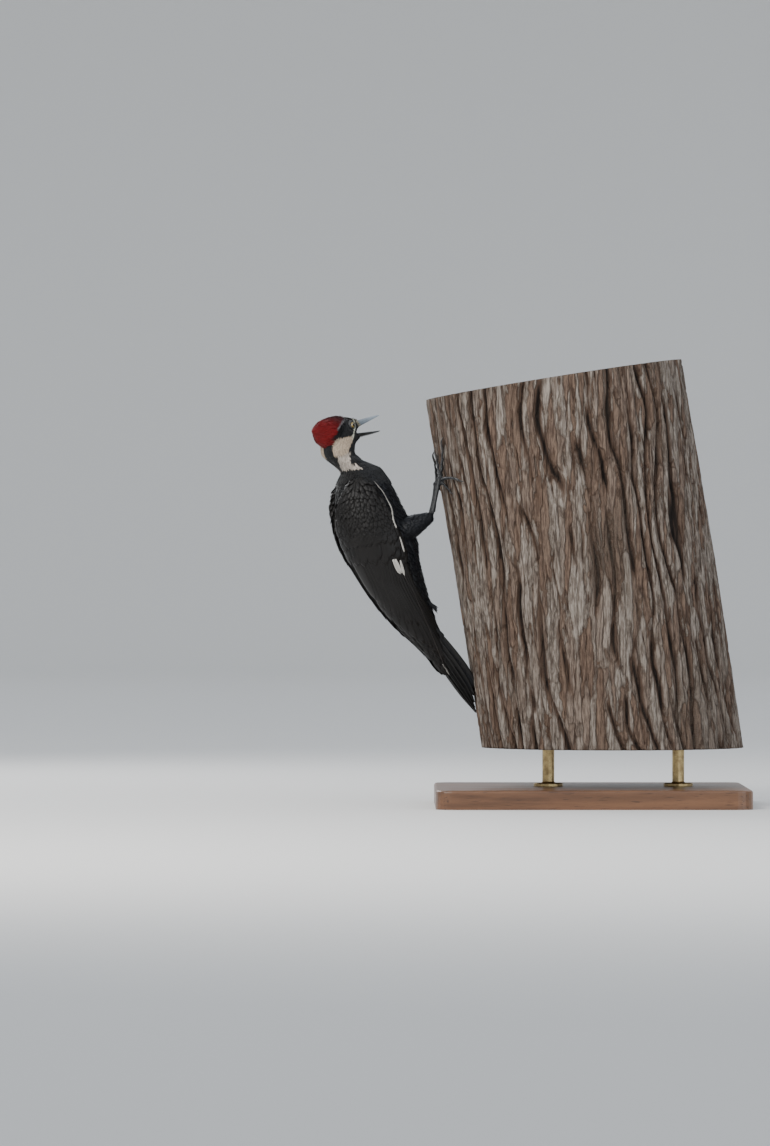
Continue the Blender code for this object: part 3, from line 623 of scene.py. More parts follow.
SKIN_FINISH, bench = new_material("bird_skin", Roughness=0.6, Specular_IOR_Level=0.22)
space = bench.space()
pebbles = bench.put("ShaderNodeTexVoronoi", i0=space, Scale=900.0).outputs["Distance"]
tone = bench.range(bench.noise(space, 160.0), 0.3, 0.7, 0.75, 1.2)
own_colour = bench.kept("Coat", "Color")
toned = bench.put("ShaderNodeVectorMath", {"operation": "SCALE"}, i0=own_colour, Scale=tone)
bench.finish(toned.outputs[0], pebbles, 0.4, 0.0003)
skin.data.materials.clear()
skin.data.materials.append(SKIN_FINISH)
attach(skin, "root")
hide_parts(*FLESH)
print("skin coloured")

# %% [markdown]
# ## The shape of a feather
# A feather is a thin, slightly hollow blade with a rounded or pointed end. Thousands are needed, so one
# pattern is made with a few dozen faces: a grid is drawn in to the outline, bent to its hollow and given a
# wall by Solidify. The pattern is one unit wide and one long, and is fitted to each feather's own path.


# %% Cut feather patterns
class Pattern:
    """A feather's shape as arrays: points (across, along, up), faces, and each point's place on the blade."""

    def __init__(self, columns, rows, outline, hollow, thickness):
        bm = bmesh.new()
        bmesh.ops.create_grid(bm, x_segments=columns, y_segments=rows, size=0.5)
        for vert in bm.verts:
            across, along = 2 * vert.co.x, vert.co.y + 0.5
            half = 0.5 * outline(along)
            vert.co = (across * half, along, -hollow * across * across * half)
        bmesh.ops.solidify(bm, geom=bm.faces[:], thickness=thickness)
        bmesh.ops.recalc_face_normals(bm, faces=bm.faces[:])
        bm.verts.ensure_lookup_table()
        self.points = np.array([v.co for v in bm.verts])
        self.faces = np.array([[v.index for v in face.verts] for face in bm.faces])
        bm.free()
        along = self.points[:, 1].clip(0, 1)
        half = np.array([0.5 * outline(a) for a in along])
        self.blade = np.stack([(self.points[:, 0] / half).clip(-1, 1) * 0.5 + 0.5, along], 1)


def outline_of(root, widest, closing):
    """An outline that grows from a narrow root, and closes past its widest place."""

    def outline(along):
        if along < widest:
            return root + (1 - root) * math.sin(math.pi / 2 * along / widest)
        return closing((along - widest) / (1 - widest))

    return outline


def rounded(root, widest, blunt=0.5):
    """Closed by a round end."""
    return outline_of(root, widest, lambda past: max(1 - past ** (1 / blunt), 0.0) ** blunt * 0.94 + 0.06)


def pointed(root, widest, power):
    """Tapered to a point."""
    return outline_of(root, widest, lambda past: max(1 - past**power, 0.0) * 0.95 + 0.05)


CONTOUR = Pattern(4, 5, rounded(0.45, 0.55), 0.16, 0.018)
SMALL = Pattern(2, 3, rounded(0.5, 0.5), 0.14, 0.05)
PLUME = Pattern(2, 6, pointed(0.5, 0.35, 1.6), 0.15, 0.05)
COVERT = Pattern(4, 6, rounded(0.5, 0.6), 0.14, 0.016)
FLIGHT = Pattern(6, 16, rounded(0.55, 0.72, 0.55), 0.10, 0.014)
STIFF = Pattern(6, 16, pointed(0.8, 0.55, 3.2), 0.12, 0.045)
for label, pattern in (("contour", CONTOUR), ("small", SMALL), ("plume", PLUME), ("flight", FLIGHT)):
    print(label, "pattern:", 2 * len(pattern.faces), "triangles")

# %% [markdown]
# ## Laying feathers
# Each feather starts at a root, and its path walks over the skin in the direction that plumage lies, from
# the bill towards the tail. Its root is in the skin and its tip stands off by the coat's depth, so every
# feather covers the roots of those behind it, as roof tiles do. All paths are worked out first, and the
# pattern is then fitted to all of them in one array operation, which makes one joined mesh.


# %% Scatter the roots
def scatter(wanted, spacing):
    """Roots spread evenly over the wanted faces, at least the spacing apart."""
    faces = np.flatnonzero(wanted)
    share = face_area[faces]
    picks = chance.choice(faces, int(5 * share.sum() / spacing**2), p=share / share.sum())
    a, b = chance.random((2, len(picks), 1))
    a, b = np.where(a + b > 1, 1 - a, a), np.where(a + b > 1, 1 - b, b)
    first, second, third = (places[corners[picks, k]] for k in range(3))
    points = first + a * (second - first) + b * (third - first)
    cells = np.floor(points / spacing).astype(int)
    taken = {}
    kept = []
    around = [(i, j, k) for i in (-1, 0, 1) for j in (-1, 0, 1) for k in (-1, 0, 1)]
    for index, (point, cell) in enumerate(zip(points.tolist(), cells.tolist())):
        near = (taken.get((cell[0] + i, cell[1] + j, cell[2] + k)) for i, j, k in around)
        if all(other is None or math.dist(point, other) >= spacing for other in near):
            taken[tuple(cell)] = point
            kept.append(index)
    return points[kept], picks[kept]


# %% Walk the paths
def walk(roots, lengths, steps, lie, sway=0.0):
    """Paths over the skin: points and outward directions, steps + 1 of each to a feather."""
    spines = np.empty((len(roots), steps + 1, 3))
    ups = np.empty_like(spines)
    at, heading = roots, None
    for k in range(steps + 1):
        at, up, _ = on_skin(at)
        spines[:, k], ups[:, k] = at, up
        wish = lie(at)
        ahead = unit(wish - up * (wish * up).sum(1, keepdims=True))
        if heading is None:
            turn = chance.normal(0, sway, (len(roots), 1))
            heading = unit(ahead + np.cross(up, ahead) * turn)
        else:
            heading = heading - up * (heading * up).sum(1, keepdims=True)
            heading = unit(0.75 * unit(heading) + 0.25 * ahead)
        at = at + heading * (lengths / steps)[:, None]
    return spines, ups


def raised(spines, ups, root, tip, power=0.8):
    """The paths lifted off the skin, in millimetres at root and tip: one value, or one for each feather."""
    along = np.linspace(0, 1, spines.shape[1])[None, :, None] ** power
    root, tip = (np.broadcast_to(np.asarray(x, float), (len(spines),))[:, None, None] for x in (root, tip))
    return spines + ups * (root + (tip - root) * along) * MM


# %% [markdown]
# Fitting is one array operation. The pattern's points are placed along each path and out to its sides, and
# the mesh is filled from the arrays. A Curve modifier for each feather would do the same, far more slowly.

# %% Fit the pattern to the paths
PATCH = 0.003  # the size of a feather's spot on the skin's map


def root_patches(spines):
    """Each feather's spot on the skin's map."""
    _, _, faces = on_skin(spines[:, 0])
    return face_uv[faces]


def lay(name, pattern, spines, ups, widths, colours, patches, material, slot, rolls=0.0):
    """One joined mesh with the pattern fitted to each path."""
    count, steps = len(spines), spines.shape[1] - 1
    ahead = unit(np.gradient(spines, axis=1))
    sides = unit(np.cross(ahead, ups))
    ups = np.cross(sides, ahead)
    rolls = np.broadcast_to(np.asarray(rolls, float), (count,))[:, None, None]
    sides, ups = sides * np.cos(rolls) + ups * np.sin(rolls), ups * np.cos(rolls) - sides * np.sin(rolls)
    at = pattern.points[:, 1].clip(0, 1) * steps
    low = np.minimum(at.astype(int), steps - 1)
    part = (at - low)[None, :, None]
    spread = [v[:, low] * (1 - part) + v[:, low + 1] * part for v in (spines, sides, ups)]
    widths = np.broadcast_to(np.asarray(widths, float), (count,))[:, None, None]
    across, up = (pattern.points[None, :, k, None] * widths for k in (0, 2))
    points = spread[0] + spread[1] * across + spread[2] * up

    mesh = bpy.data.meshes.new(name)
    size, faces = len(pattern.points), len(pattern.faces)
    mesh.vertices.add(count * size)
    mesh.vertices.foreach_set("co", points.astype(np.float32).ravel())
    indices = (np.arange(count)[:, None, None] * size + pattern.faces[None]).ravel()
    mesh.loops.add(len(indices))
    mesh.loops.foreach_set("vertex_index", indices.astype(np.int32))
    mesh.polygons.add(count * faces)
    mesh.polygons.foreach_set("loop_start", np.arange(0, len(indices), 4, dtype=np.int32))
    mesh.update(calc_edges=True)
    mesh.shade_smooth()
    blade = pattern.blade[pattern.faces].reshape(-1, 2)
    tiny = (blade - 0.5) * (0.8 * PATCH, PATCH)
    tiny[:, 0] += pattern.points[pattern.faces.ravel(), 2] * PATCH
    spots = np.repeat(patches, len(blade), 0) + np.tile(tiny, (count, 1))
    for label, flat in (("Vane", np.tile(blade, (count, 1))), (BAKE_MAP, spots)):
        mesh.uv_layers.new(name=label).data.foreach_set("uv", flat.astype(np.float32).ravel())
    colours = np.asarray(colours)
    store_colour(mesh, np.repeat(colours, size, 0) if colours.ndim == 2 else colours.reshape(-1, 3))
    mesh.materials.append(material)
    made = new_object(name, mesh)
    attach(made, "root")
    print(f"{name}: {count} feathers, {2 * count * faces} triangles")
    return made


def varied(colours, amount=0.12):
    """The colours, each a little lighter or darker than the next."""
    return colours * (1 + chance.normal(0, amount, (len(colours), 1))).clip(0.6, 1.5)


# %% [markdown]
# ## The lie of the plumage
# Feathers lie back from the bill, over the head, down the neck and along the body. A line through the middle
# of the bird carries that direction, and each root takes it from the stretch of line beside it. The crest
# runs to its own tip, and the thigh's feathers run down the leg.

# %% Which way feathers lie
# the body's cuts, from neck to rump: x and z at the back, x and z at the front, half width
TORSO = np.array(
    (
        (-55.0, 111.0, -29.0, 127.5, 18.5),
        (-60.0, 101.5, -7.5, 119.5, 27.0),
        (-62.5, 90.0, 3.8, 105.0, 33.5),
        (-63.2, 75.0, 10.8, 89.0, 37.0),
        (-61.8, 56.5, 20.8, 70.5, 38.5),
        (-56.8, 36.0, 31.2, 51.0, 38.5),
        (-47.8, 15.5, 37.6, 31.5, 37.0),
        (-33.5, -6.5, 39.4, 10.5, 34.0),
        (-18.2, -29.0, 45.4, -12.5, 29.5),
        (-1.5, -50.5, 51.5, -32.5, 25.0),
        (16.5, -69.5, 57.5, -51.5, 20.5),
        (33.5, -83.0, 62.5, -69.5, 16.0),
    )
)
CREST_TIP = HEAD @ Vector((-60.0, 0.0, 17.0))
HIPS = {"right": (14.0, -21.0, 45.0), "left": (16.0, 21.0, 43.0)}
HEELS = {"right": (45.0, -32.0, 61.5), "left": (61.5, 31.0, 62.0)}

torso_middle = np.insert((TORSO[:, 0:2] + TORSO[:, 2:4]) / 2, 1, 0.0, axis=1)
head_line = through(HEAD, [(24, 0, -3), (12, 0, -2), (0, 0, -2), (-14, 0, -5), (-18, 0, -16)])
tail_line = through(BIRD, [(75, 0, -115), (107, 0, -165)])
body_line = np.concatenate([head_line, through(BIRD, torso_middle), tail_line])
line_course = unit(np.gradient(body_line, axis=0))
LINE_REACH = 20 * MM


def lie(points):
    """The direction in which feathers lie at each point, along the middle line beside it."""
    apart = np.linalg.norm(points[:, None] - body_line[None], axis=2)
    weight = np.exp(-(((apart - apart.min(1, keepdims=True)) / LINE_REACH) ** 2))
    return unit((weight[:, :, None] * line_course[None]).sum(1))


def crest_lie(points):
    """Back over the crown, and in towards the crest's tip."""
    towards = unit(np.array(CREST_TIP) - points)
    return unit(towards - 0.35 * unit(HEAD_FORWARD))


def leg_lie(side_name):
    """Down the thigh, from the hip to the heel."""
    down = unit(through(BIRD, [HEELS[side_name]]) - through(BIRD, [HIPS[side_name]]))
    return lambda points: np.repeat(down, len(points), 0)


print("middle line of", len(body_line), "points")

# %% [markdown]
# ## The coat of small feathers
# The face wears the smallest feathers, under a millimetre wide, and the breast and back the largest. Each
# region sets its own length, width and spacing. Two openings stay bare: the mouth, and a ring round each eye.

# %% Cover face, neck and body
face_f, _, face_u = through(HEAD.inverted(), face_middle).T
_, face_y, face_z = through(BIRD.inverted(), face_middle).T
eye_middles = [np.array(middle(n)) for n in ("eye_right", "eye_left")]
EYE_HOLE = 5.2 * MM
bare = in_gape(face_middle) > 0.3
for eye in eye_middles:
    bare |= np.linalg.norm(face_middle - eye, axis=1) < EYE_HOLE
on_head = face_kind == "head"
on_crest = face_kind == "crest"
on_neck = face_kind == "neck"


def standing_out(points):
    """How far each point stands out past the bird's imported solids, in millimetres."""
    past = []
    for point in points:
        near, normal, _, _ = flesh_tree.find_nearest(Vector(point))
        past.append((Vector(point) - near).dot(normal) / MM)
    return np.array(past)


STRAY = 0.9  # mm that a feather may stand out past the solids
CREASE_Z = 20.0  # below this height none may cross between wing and body
CURL = 0.7  # the least cosine between the outward directions along one feather
BLADE_EDGE = 0.4  # of the width: where the outline is tested, beside the shaft


def lies_well(spines, ups, widths, root_faces):
    """True for feathers that keep within the bird's outline, don't curl, and don't cross into a wing."""
    edges = unit(np.cross(ups[:, -2], spines[:, -1] - spines[:, -2])) * widths[:, None] * BLADE_EDGE
    corners_at = (spines[:, -1], spines[:, -2] + edges, spines[:, -2] - edges)
    stray = np.max([standing_out(points) for points in corners_at], axis=0)
    tip_faces = on_skin(spines[:, -1])[2]
    crosses = (face_kind[tip_faces] == "wing") != (face_kind[root_faces] == "wing")
    curled = ((ups * ups[:, :1]).sum(2).min(1) < CURL) & (face_kind[root_faces] != "crest")
    return (stray < STRAY) & ~curled & ~(crosses & (face_z[root_faces] < CREASE_Z))


def coat(name, pattern, wanted, size, looks, way=lie, sway=0.12, steps=4, paint=markings):
    """Feathers over one region. The size is spacing, length, width and depth, in millimetres."""
    spacing, length, width, depth = size
    roots, root_faces = scatter(wanted & ~bare, spacing * MM)
    lengths = length * MM * chance.uniform(0.85, 1.15, len(roots))
    spines, ups = walk(roots, lengths, steps, way, sway)
    shows = int(round(0.65 * steps))  # the part of a feather that its neighbours leave uncovered
    colours = varied(paint(spines[:, shows]))
    spines = raised(spines, ups, -0.12 * width, depth * chance.uniform(0.8, 1.1, len(roots)))
    widths = width * MM * chance.uniform(0.9, 1.1, len(roots))
    keep = lies_well(spines, ups, widths, root_faces)
    spines, ups, widths, colours = spines[keep], ups[keep], widths[keep], colours[keep]
    return lay(name, pattern, spines, ups, widths, colours, root_patches(spines), *looks)


FACE_LOOKS, BODY_LOOKS = (FACE_PLUMAGE, "face"), (BODY_PLUMAGE, "plumage")
COLLAR_Z = 104  # where the neck's small feathers give way to the body's
RUMP_Z = -15
DORSAL = -0.25  # the cosine, to the bird's forward direction, of the outward direction of its back
coat("coat_face", SMALL, on_head & (face_f > 5), (0.78, 3.2, 1.05, 0.65), FACE_LOOKS, steps=3)
coat("coat_cheeks", SMALL, on_head & (face_f <= 5), (1.0, 4.8, 1.5, 1.0), FACE_LOOKS)
collar = on_neck | ((face_kind == "trunk") & (face_z > COLLAR_Z))
coat("coat_neck", SMALL, collar, (1.35, 7.5, 2.2, 1.7), FACE_LOOKS)
body_faces = (face_kind == "trunk") & (face_z <= COLLAR_Z)
dorsal = face_normal @ BODY_FORWARD < DORSAL
back = body_faces & dorsal & (face_z > RUMP_Z)
rump = body_faces & dorsal & (face_z <= RUMP_Z)
coat("coat_back", CONTOUR, back, (3.1, 11.0, 5.8, 0.5), BODY_LOOKS, sway=0.06)
coat("coat_rump", CONTOUR, rump, (2.8, 12.0, 4.0, 0.2), BODY_LOOKS, sway=0.04)
coat("coat_breast", CONTOUR, body_faces & ~dorsal, (3.0, 13.0, 6.0, 2.4), BODY_LOOKS, sway=0.18)
for side_name, side in (("right", -1), ("left", 1)):
    thigh = (face_kind == "thigh") & (face_y * side > 0)
    coat(f"coat_thigh_{side_name}", CONTOUR, thigh, (2.3, 9.0, 4.0, 1.6), BODY_LOOKS, leg_lie(side_name), 0.2)
print("coat laid")

# %% [markdown]
# ## The crest
# The crest's feathers are long, narrow and soft, and all run back to one tip. They are laid in two passes:
# the red crown first, then the crest itself, whose feathers stand off more and sway apart at their ends.

# %% Cover the crown and the crest
PALE_GREEN = 0.19  # the green in a colour that is too pale for the crest


def crest_paint(points):
    """The markings, without the cheek's white, which no crest feather wears."""
    colours = markings(points)
    colours[colours[:, 1] > PALE_GREEN] = DEEP_RED
    return colours


CROWN_END = -20
CREST_LOOKS = (CREST_PLUMAGE, "crest_red")
crown = on_crest & (face_f > CROWN_END)
swept = on_crest & ~crown
coat("coat_crown", PLUME, crown, (0.9, 7.5, 1.3, 2.2), CREST_LOOKS, crest_lie, 0.1, 5, crest_paint)
coat("coat_crest", PLUME, swept, (1.05, 12.5, 1.4, 2.7), CREST_LOOKS, crest_lie, 0.14, 6, crest_paint)

# %% [markdown]
# ## A closed wing
# A closed wing is a fan folded shut. Its outer face follows the body's side, so it is rebuilt here as a
# smooth sheet, with one number for the distance from the wrist and one for the place between the edge along
# the back and the lower edge. Feathers are then placed on that sheet by row, as they are on a real wing.

# %% The sheet that the wing feathers lie on
WING_END_CUTS = ((47.5, -95.5, 73, -86, 12), (59, -110.5, 78, -104, 8.5), (69, -122.5, 74.5, -119.5, 5.5))
WING_BED = np.concatenate([TORSO[1:], WING_END_CUTS])
# the angles at which the wing begins and ends on each cut, in degrees from the bird's back
WING_FROM = (56, 33, 17, 12, 11, 11, 11, 11, 11, 9, 8, 12, 26, 58)
WING_TO = (80, 98, 105, 108, 111, 112, 109, 107, 112, 120, 126, 122, 116, 112)
WING_ANGLES = np.stack([WING_FROM, WING_TO], 1).astype(float)
WING_GROWTH = 4.2  # mm that the wing stands out past the body's cuts
WING_REACH = 230.0  # from the wrist to the tip, on the scale used for every row
SHEET_ROWS = 157
SHEET_COLUMNS = 41


def through_points(rows, at):
    """A smooth curve through the rows, read at each place along it."""
    low = np.clip(np.floor(at).astype(int), 0, len(rows) - 2)
    t = (at - low)[:, None]
    a, b, c, d = (rows[np.clip(low + k, 0, len(rows) - 1)] for k in (-1, 0, 1, 2))
    return b + 0.5 * t * (c - a + t * (2 * a - 5 * b + 4 * c - d + t * (3 * (b - c) + d - a)))


def wing_sheet(side):
    """The wing's outer face as rows of points across it, their outward directions, and each row's reach."""
    at = np.linspace(0, len(WING_BED) - 1, SHEET_ROWS)
    bed, limits = through_points(WING_BED, at), through_points(WING_ANGLES, at)
    share = np.linspace(0, 1, SHEET_COLUMNS)
    angle = np.radians(limits[:, :1] + (limits[:, 1:] - limits[:, :1]) * share)
    back, front = bed[:, 0:2], bed[:, 2:4]
    centre, half_deep = (back + front) / 2, np.linalg.norm(back - front, axis=1, keepdims=True) / 2
    outward = unit(back - front)
    deep = (half_deep + WING_GROWTH) * np.cos(angle)
    wide = (bed[:, 4:5] + WING_GROWTH) * np.sin(angle) * side
    x, z = (centre[:, k : k + 1] + outward[:, k : k + 1] * deep for k in (0, 1))
    sheet = through(BIRD, np.stack([x, wide, z], 2).reshape(-1, 3)).reshape(SHEET_ROWS, SHEET_COLUMNS, 3)
    down, over_it = np.gradient(sheet, axis=0), np.gradient(sheet, axis=1)
    normals = unit(np.cross(over_it, down)) * side
    along = np.linalg.norm(np.diff(sheet[:, SHEET_COLUMNS // 2], axis=0), axis=1)
    reach = np.concatenate([[0], np.cumsum(along)])
    return sheet, normals, reach * WING_REACH / reach[-1]


SHEETS = {-1: wing_sheet(-1), 1: wing_sheet(1)}


def on_wing_sheet(side, reach, across):
    """Points and outward directions on the wing, for arrays of reach and of share across it."""
    sheet, normals, reaches = SHEETS[side]
    row = np.interp(reach, reaches, np.arange(SHEET_ROWS)).clip(0, SHEET_ROWS - 1.001)
    column = np.clip(across, 0, 1) * (SHEET_COLUMNS - 1.001)
    i, j = row.astype(int), column.astype(int)
    s, t = (row - i)[..., None], (column - j)[..., None]

    def read(grid):
        near = grid[i, j] * (1 - t) + grid[i, j + 1] * t
        return near * (1 - s) + (grid[i + 1, j] * (1 - t) + grid[i + 1, j + 1] * t) * s

    return read(sheet), unit(read(normals))


for side, (sheet, _, reaches) in SHEETS.items():
    wrist = sheet[0, SHEET_COLUMNS // 2].round(3)
    print("wing sheet", side, "reaches", round(reaches[-1]), "mm; wrist at", wrist)

# %% [markdown]
# The long feathers do the flying. The secondaries lie over the primaries, and in each group the inner feather
# lies over the next one out, so each blade is tipped a little, with its outer edge up. The tips step back
# from the longest primary. Roots and tips are given by their reach and their share across the sheet.


# %% Flight feathers
def wing_paths(side, roots, tips, steps, bend=0.0):
    """Paths on the sheet between pairs of (reach, across), with an even bend across the middle."""
    roots, tips = np.asarray(roots, float), np.asarray(tips, float)
    t = np.linspace(0, 1, steps + 1)
    reach = roots[:, :1] + (tips[:, :1] - roots[:, :1]) * t
    across = roots[:, 1:] + (tips[:, 1:] - roots[:, 1:]) * t + bend * np.sin(math.pi * t)
    return on_wing_sheet(side, reach, across)


def lay_wing(name, pattern, side, roots, tips, widths, heights, colours, roll, bend=0.0, power=1.0):
    """Feathers on the wing sheet. Heights are from the sheet at root and tip, in millimetres."""
    spines, ups = wing_paths(side, roots, tips, WING_STEPS, bend)
    patches = root_patches(spines)
    spines = raised(spines, ups, heights[0], heights[1], power)
    widths = np.asarray(widths) * MM
    rolls = side * np.radians(roll)
    return lay(name, pattern, spines, ups, widths, colours, patches, *WING_LOOKS, rolls)


def tints(count, colour, amount):
    """One colour for each feather, each a little different."""
    return varied(np.tile(colour, (count, 1)), amount)


WING_STEPS = 10
WING_LOOKS = (WING_PLUMAGE, "plumage")
PRIMARY_TIPS = (142, 153, 163, 173, 182, 191, 200, 209, 217, 223, 226, 214)
PRIMARIES = len(PRIMARY_TIPS)
SECONDARIES = 11


def flight_feathers(side, side_name):
    """The primaries, and the secondaries over them, with their roots sunk out of sight."""
    order = np.arange(PRIMARIES) / (PRIMARIES - 1)
    roots = np.stack([66 - 8 * order, 0.62 + 0.26 * order], 1)
    tips = np.stack([np.array(PRIMARY_TIPS), 0.06 + 0.86 * order**1.25], 1)
    deep = -0.9 - 0.5 * order
    black = tints(PRIMARIES, WING_BLACK, 0.1)
    widths, heights = 13 - 2.5 * order, (deep, 0.3 * deep)
    lay_wing(f"primaries_{side_name}", FLIGHT, side, roots, tips, widths, heights, black, 2.4, 0.05)
    order = np.arange(SECONDARIES) / (SECONDARIES - 1)
    roots = np.stack([62 - 30 * order, 0.66 - 0.48 * order], 1)
    tips = np.stack([168 - 40 * order**1.5, 0.60 - 0.50 * order], 1)
    black = tints(SECONDARIES, WING_BLACK, 0.1)
    heights = (-3.2, 0.5 * (-0.9 + 0.4 * order))
    lay_wing(f"secondaries_{side_name}", FLIGHT, side, roots, tips, 15, heights, black, 3.0, 0.02, 0.4)


# %% [markdown]
# Rows of coverts hide the roots of the flight feathers: small ones at the wrist, then two larger rows, like
# tiles on a roof, with the primaries' own coverts along the lower edge and the scapulars along the back. The
# wrist and the wing's end curl round out of the sheet, so they wear a coat of small feathers instead.


# %% Coverts
def wing_rows(rows, jitter):
    """Roots and tips of rows (reach, from across, to across, count, length, lean), staggered by turns."""
    roots, tips = [], []
    for number, (reach, start, end, count, length, lean) in enumerate(rows):
        shift = (number % 2) * 0.5 * (end - start) / count
        for across in np.linspace(start, end, count):
            root = (reach + chance.normal(0, jitter), across + shift + chance.normal(0, 0.006))
            roots.append(root)
            tips.append((root[0] + length * chance.uniform(0.93, 1.07), root[1] + lean))
    return np.array(roots), np.array(tips)


def lay_rows(name, side, rows, jitter, tint, widths, heights, roll, power):
    """Coverts in rows. The tint is a colour and its spread, the widths a start and a growth with reach."""
    roots, tips = wing_rows(rows, jitter)
    colours = tints(len(roots), *tint)
    widths = widths[0] + widths[1] * roots[:, 0]
    return lay_wing(name, COVERT, side, roots, tips, widths, heights, colours, roll, 0.0, power)


def wing_paint(points):
    return np.tile(WING_BLACK, (len(points), 1))


def wing_way(side):
    """The lie of feathers on a wing: straight down it, towards the tip."""
    flat_sheet = SHEETS[side][0][::4, ::4].reshape(-1, 3)
    down = unit(np.gradient(SHEETS[side][0], axis=0))[::4, ::4].reshape(-1, 3)
    return lambda points: down[((points[:, None] - flat_sheet[None]) ** 2).sum(2).argmin(1)]


SHOULDER_REACH = 57
WING_END_REACH = 115
WING_END_FACING = 0.45  # the least cosine to the sheet's outward direction


def wrist_and_end(side, side_name):
    """Small feathers over the skin of the wing, where the rows don't reach."""
    sheet, normals, reaches = SHEETS[side]
    flat_sheet, flat_normals = (grid[::3, ::2].reshape(-1, 3) for grid in (sheet, normals))
    flat_reach = np.repeat(reaches[::3], len(range(0, SHEET_COLUMNS, 2)))
    own_wing = (face_kind == "wing") & (face_y * side > -6)
    near = np.array([np.argmin(((flat_sheet - p) ** 2).sum(1)) for p in face_middle[own_wing]])
    facing = (face_normal[own_wing] * flat_normals[near]).sum(1)
    shoulder, wing_end = own_wing.copy(), own_wing.copy()
    shoulder[own_wing] = flat_reach[near] < SHOULDER_REACH
    wing_end[own_wing] = (flat_reach[near] > WING_END_REACH) & (facing > WING_END_FACING)
    small, long, way = (2.9, 11.5, 5.6, 2.7), (4.0, 24.0, 5.0, 0.9), wing_way(side)
    coat(f"lesser_coverts_{side_name}", CONTOUR, shoulder, small, WING_LOOKS, way, 0.08, 4, wing_paint)
    coat(f"wing_end_{side_name}", COVERT, wing_end, long, WING_LOOKS, way, 0.03, 6, wing_paint)


for side, side_name in ((-1, "right"), (1, "left")):
    flight_feathers(side, side_name)
    rows = [(50, 0.10, 0.88, 12, 22, -0.015), (59, 0.14, 0.84, 11, 31, -0.02)]
    tint, widths = (WING_BLACK, 0.14), (10.5, 0.02)
    lay_rows(f"coverts_{side_name}", side, rows, 1.2, tint, widths, (-2.4, 0.15), 1.0, 0.5)
    wrist_and_end(side, side_name)
    rows = [(44 + 9 * k, 0.80 + 0.03 * k, 0.96, 4, 30, -0.02) for k in range(4)]
    tint, widths = (WING_BLACK, 0.1), (7.0, 0.0)
    lay_rows(f"primary_coverts_{side_name}", side, rows, 1.0, tint, widths, (-2.2, -0.1), 2.0, 0.6)
    rows = [(40 + 7 * k, 0.02, 0.17, 3, 19, 0.01) for k in range(5)]
    tint, widths = (BACK_BLACK, 0.16), (8.5, 0.0)
    lay_rows(f"scapulars_{side_name}", side, rows, 1.5, tint, widths, (-2.6, 0.05), 2.0, 0.5)

# %% [markdown]
# A line of white shows along the wing's lower edge, where the pale feathers of its lining peep out, and two
# white patches lie at the primaries' bases. Thin grey lines along the outer primaries are painted sheen on
# their edges, and one tip has a paler line. They are narrow feathers of their own, laid just above the dark
# ones, along lines measured on the bird.

# %% White edge, white patches, and painted sheen on the primaries' edges
PATCH_WHITE = np.array((0.52, 0.50, 0.46))
# painted sheen: the grey of the thin lines along the outer primaries' edges
EDGE_SHEEN = np.array((0.034, 0.029, 0.027))
LINING = (
    *((-25.8, 32.1, 100.7), (-16.1, 34.6, 89.6), (-6.2, 37.0, 70.9)),
    *((-4.0, 40.8, 57.9), (0.6, 40.7, 46.0)),
)
LINING_END = ((3.9, 40.1, 38.1), (7.0, 39.4, 29.0), (10.7, 38.2, 19.2))
# each patch: its root, its tip and its width
BASE_PATCHES = (
    ((-3.7, 39.6, 12.2), (5.8, 36.7, -4.6), 4.6),
    ((-1.0, 39.7, 12.6), (7.4, 36.6, -3.6), 3.2),
    ((4.9, 39.0, 11.3), (10.9, 36.1, -6.5), 3.0),
)
# where the painted sheen runs along the outer primaries' edges; the last line below is a paler line at one tip
SHEEN_LINES = (
    ((10.4, 36.1, -6.9), (22.4, 32.0, -24.1), (46.0, 22.0, -71.0), (69.0, 10.5, -117.5)),
    ((2.0, 37.5, -6.0), (16.0, 32.8, -29.0), (40.0, 22.5, -74.0), (62.0, 11.5, -114.0)),
)
PALE_TIP = ((63.5, 12.4, -108.0), (68.5, 10.9, -115.0), (72.5, 9.4, -121.0))
SPAN, PITCH = 16, 5  # of the points along the lining: a feather's length, and the step to the next


def over_wing(side, line_points, count, lift):
    """Evenly spaced points along a line beside the wing, lifted off it, with the outward directions there."""
    line_points = np.asarray(line_points, float) * (1, side, 1)
    gone = np.concatenate([[0], np.cumsum(np.linalg.norm(np.diff(line_points, axis=0), axis=1))])
    at = np.linspace(0, gone[-1], count)
    points = through(BIRD, np.stack([np.interp(at, gone, line_points[:, k]) for k in range(3)], 1))
    sheet, normals, _ = SHEETS[side]
    flat_sheet, flat_normals = sheet.reshape(-1, 3), normals.reshape(-1, 3)
    near = np.array([np.argmin(((flat_sheet - p) ** 2).sum(1)) for p in points])
    outs = flat_normals[near]
    sunk = ((flat_sheet[near] - points) * outs).sum(1).clip(0, 3 * MM)
    return points + outs * (sunk + lift * MM)[:, None], outs


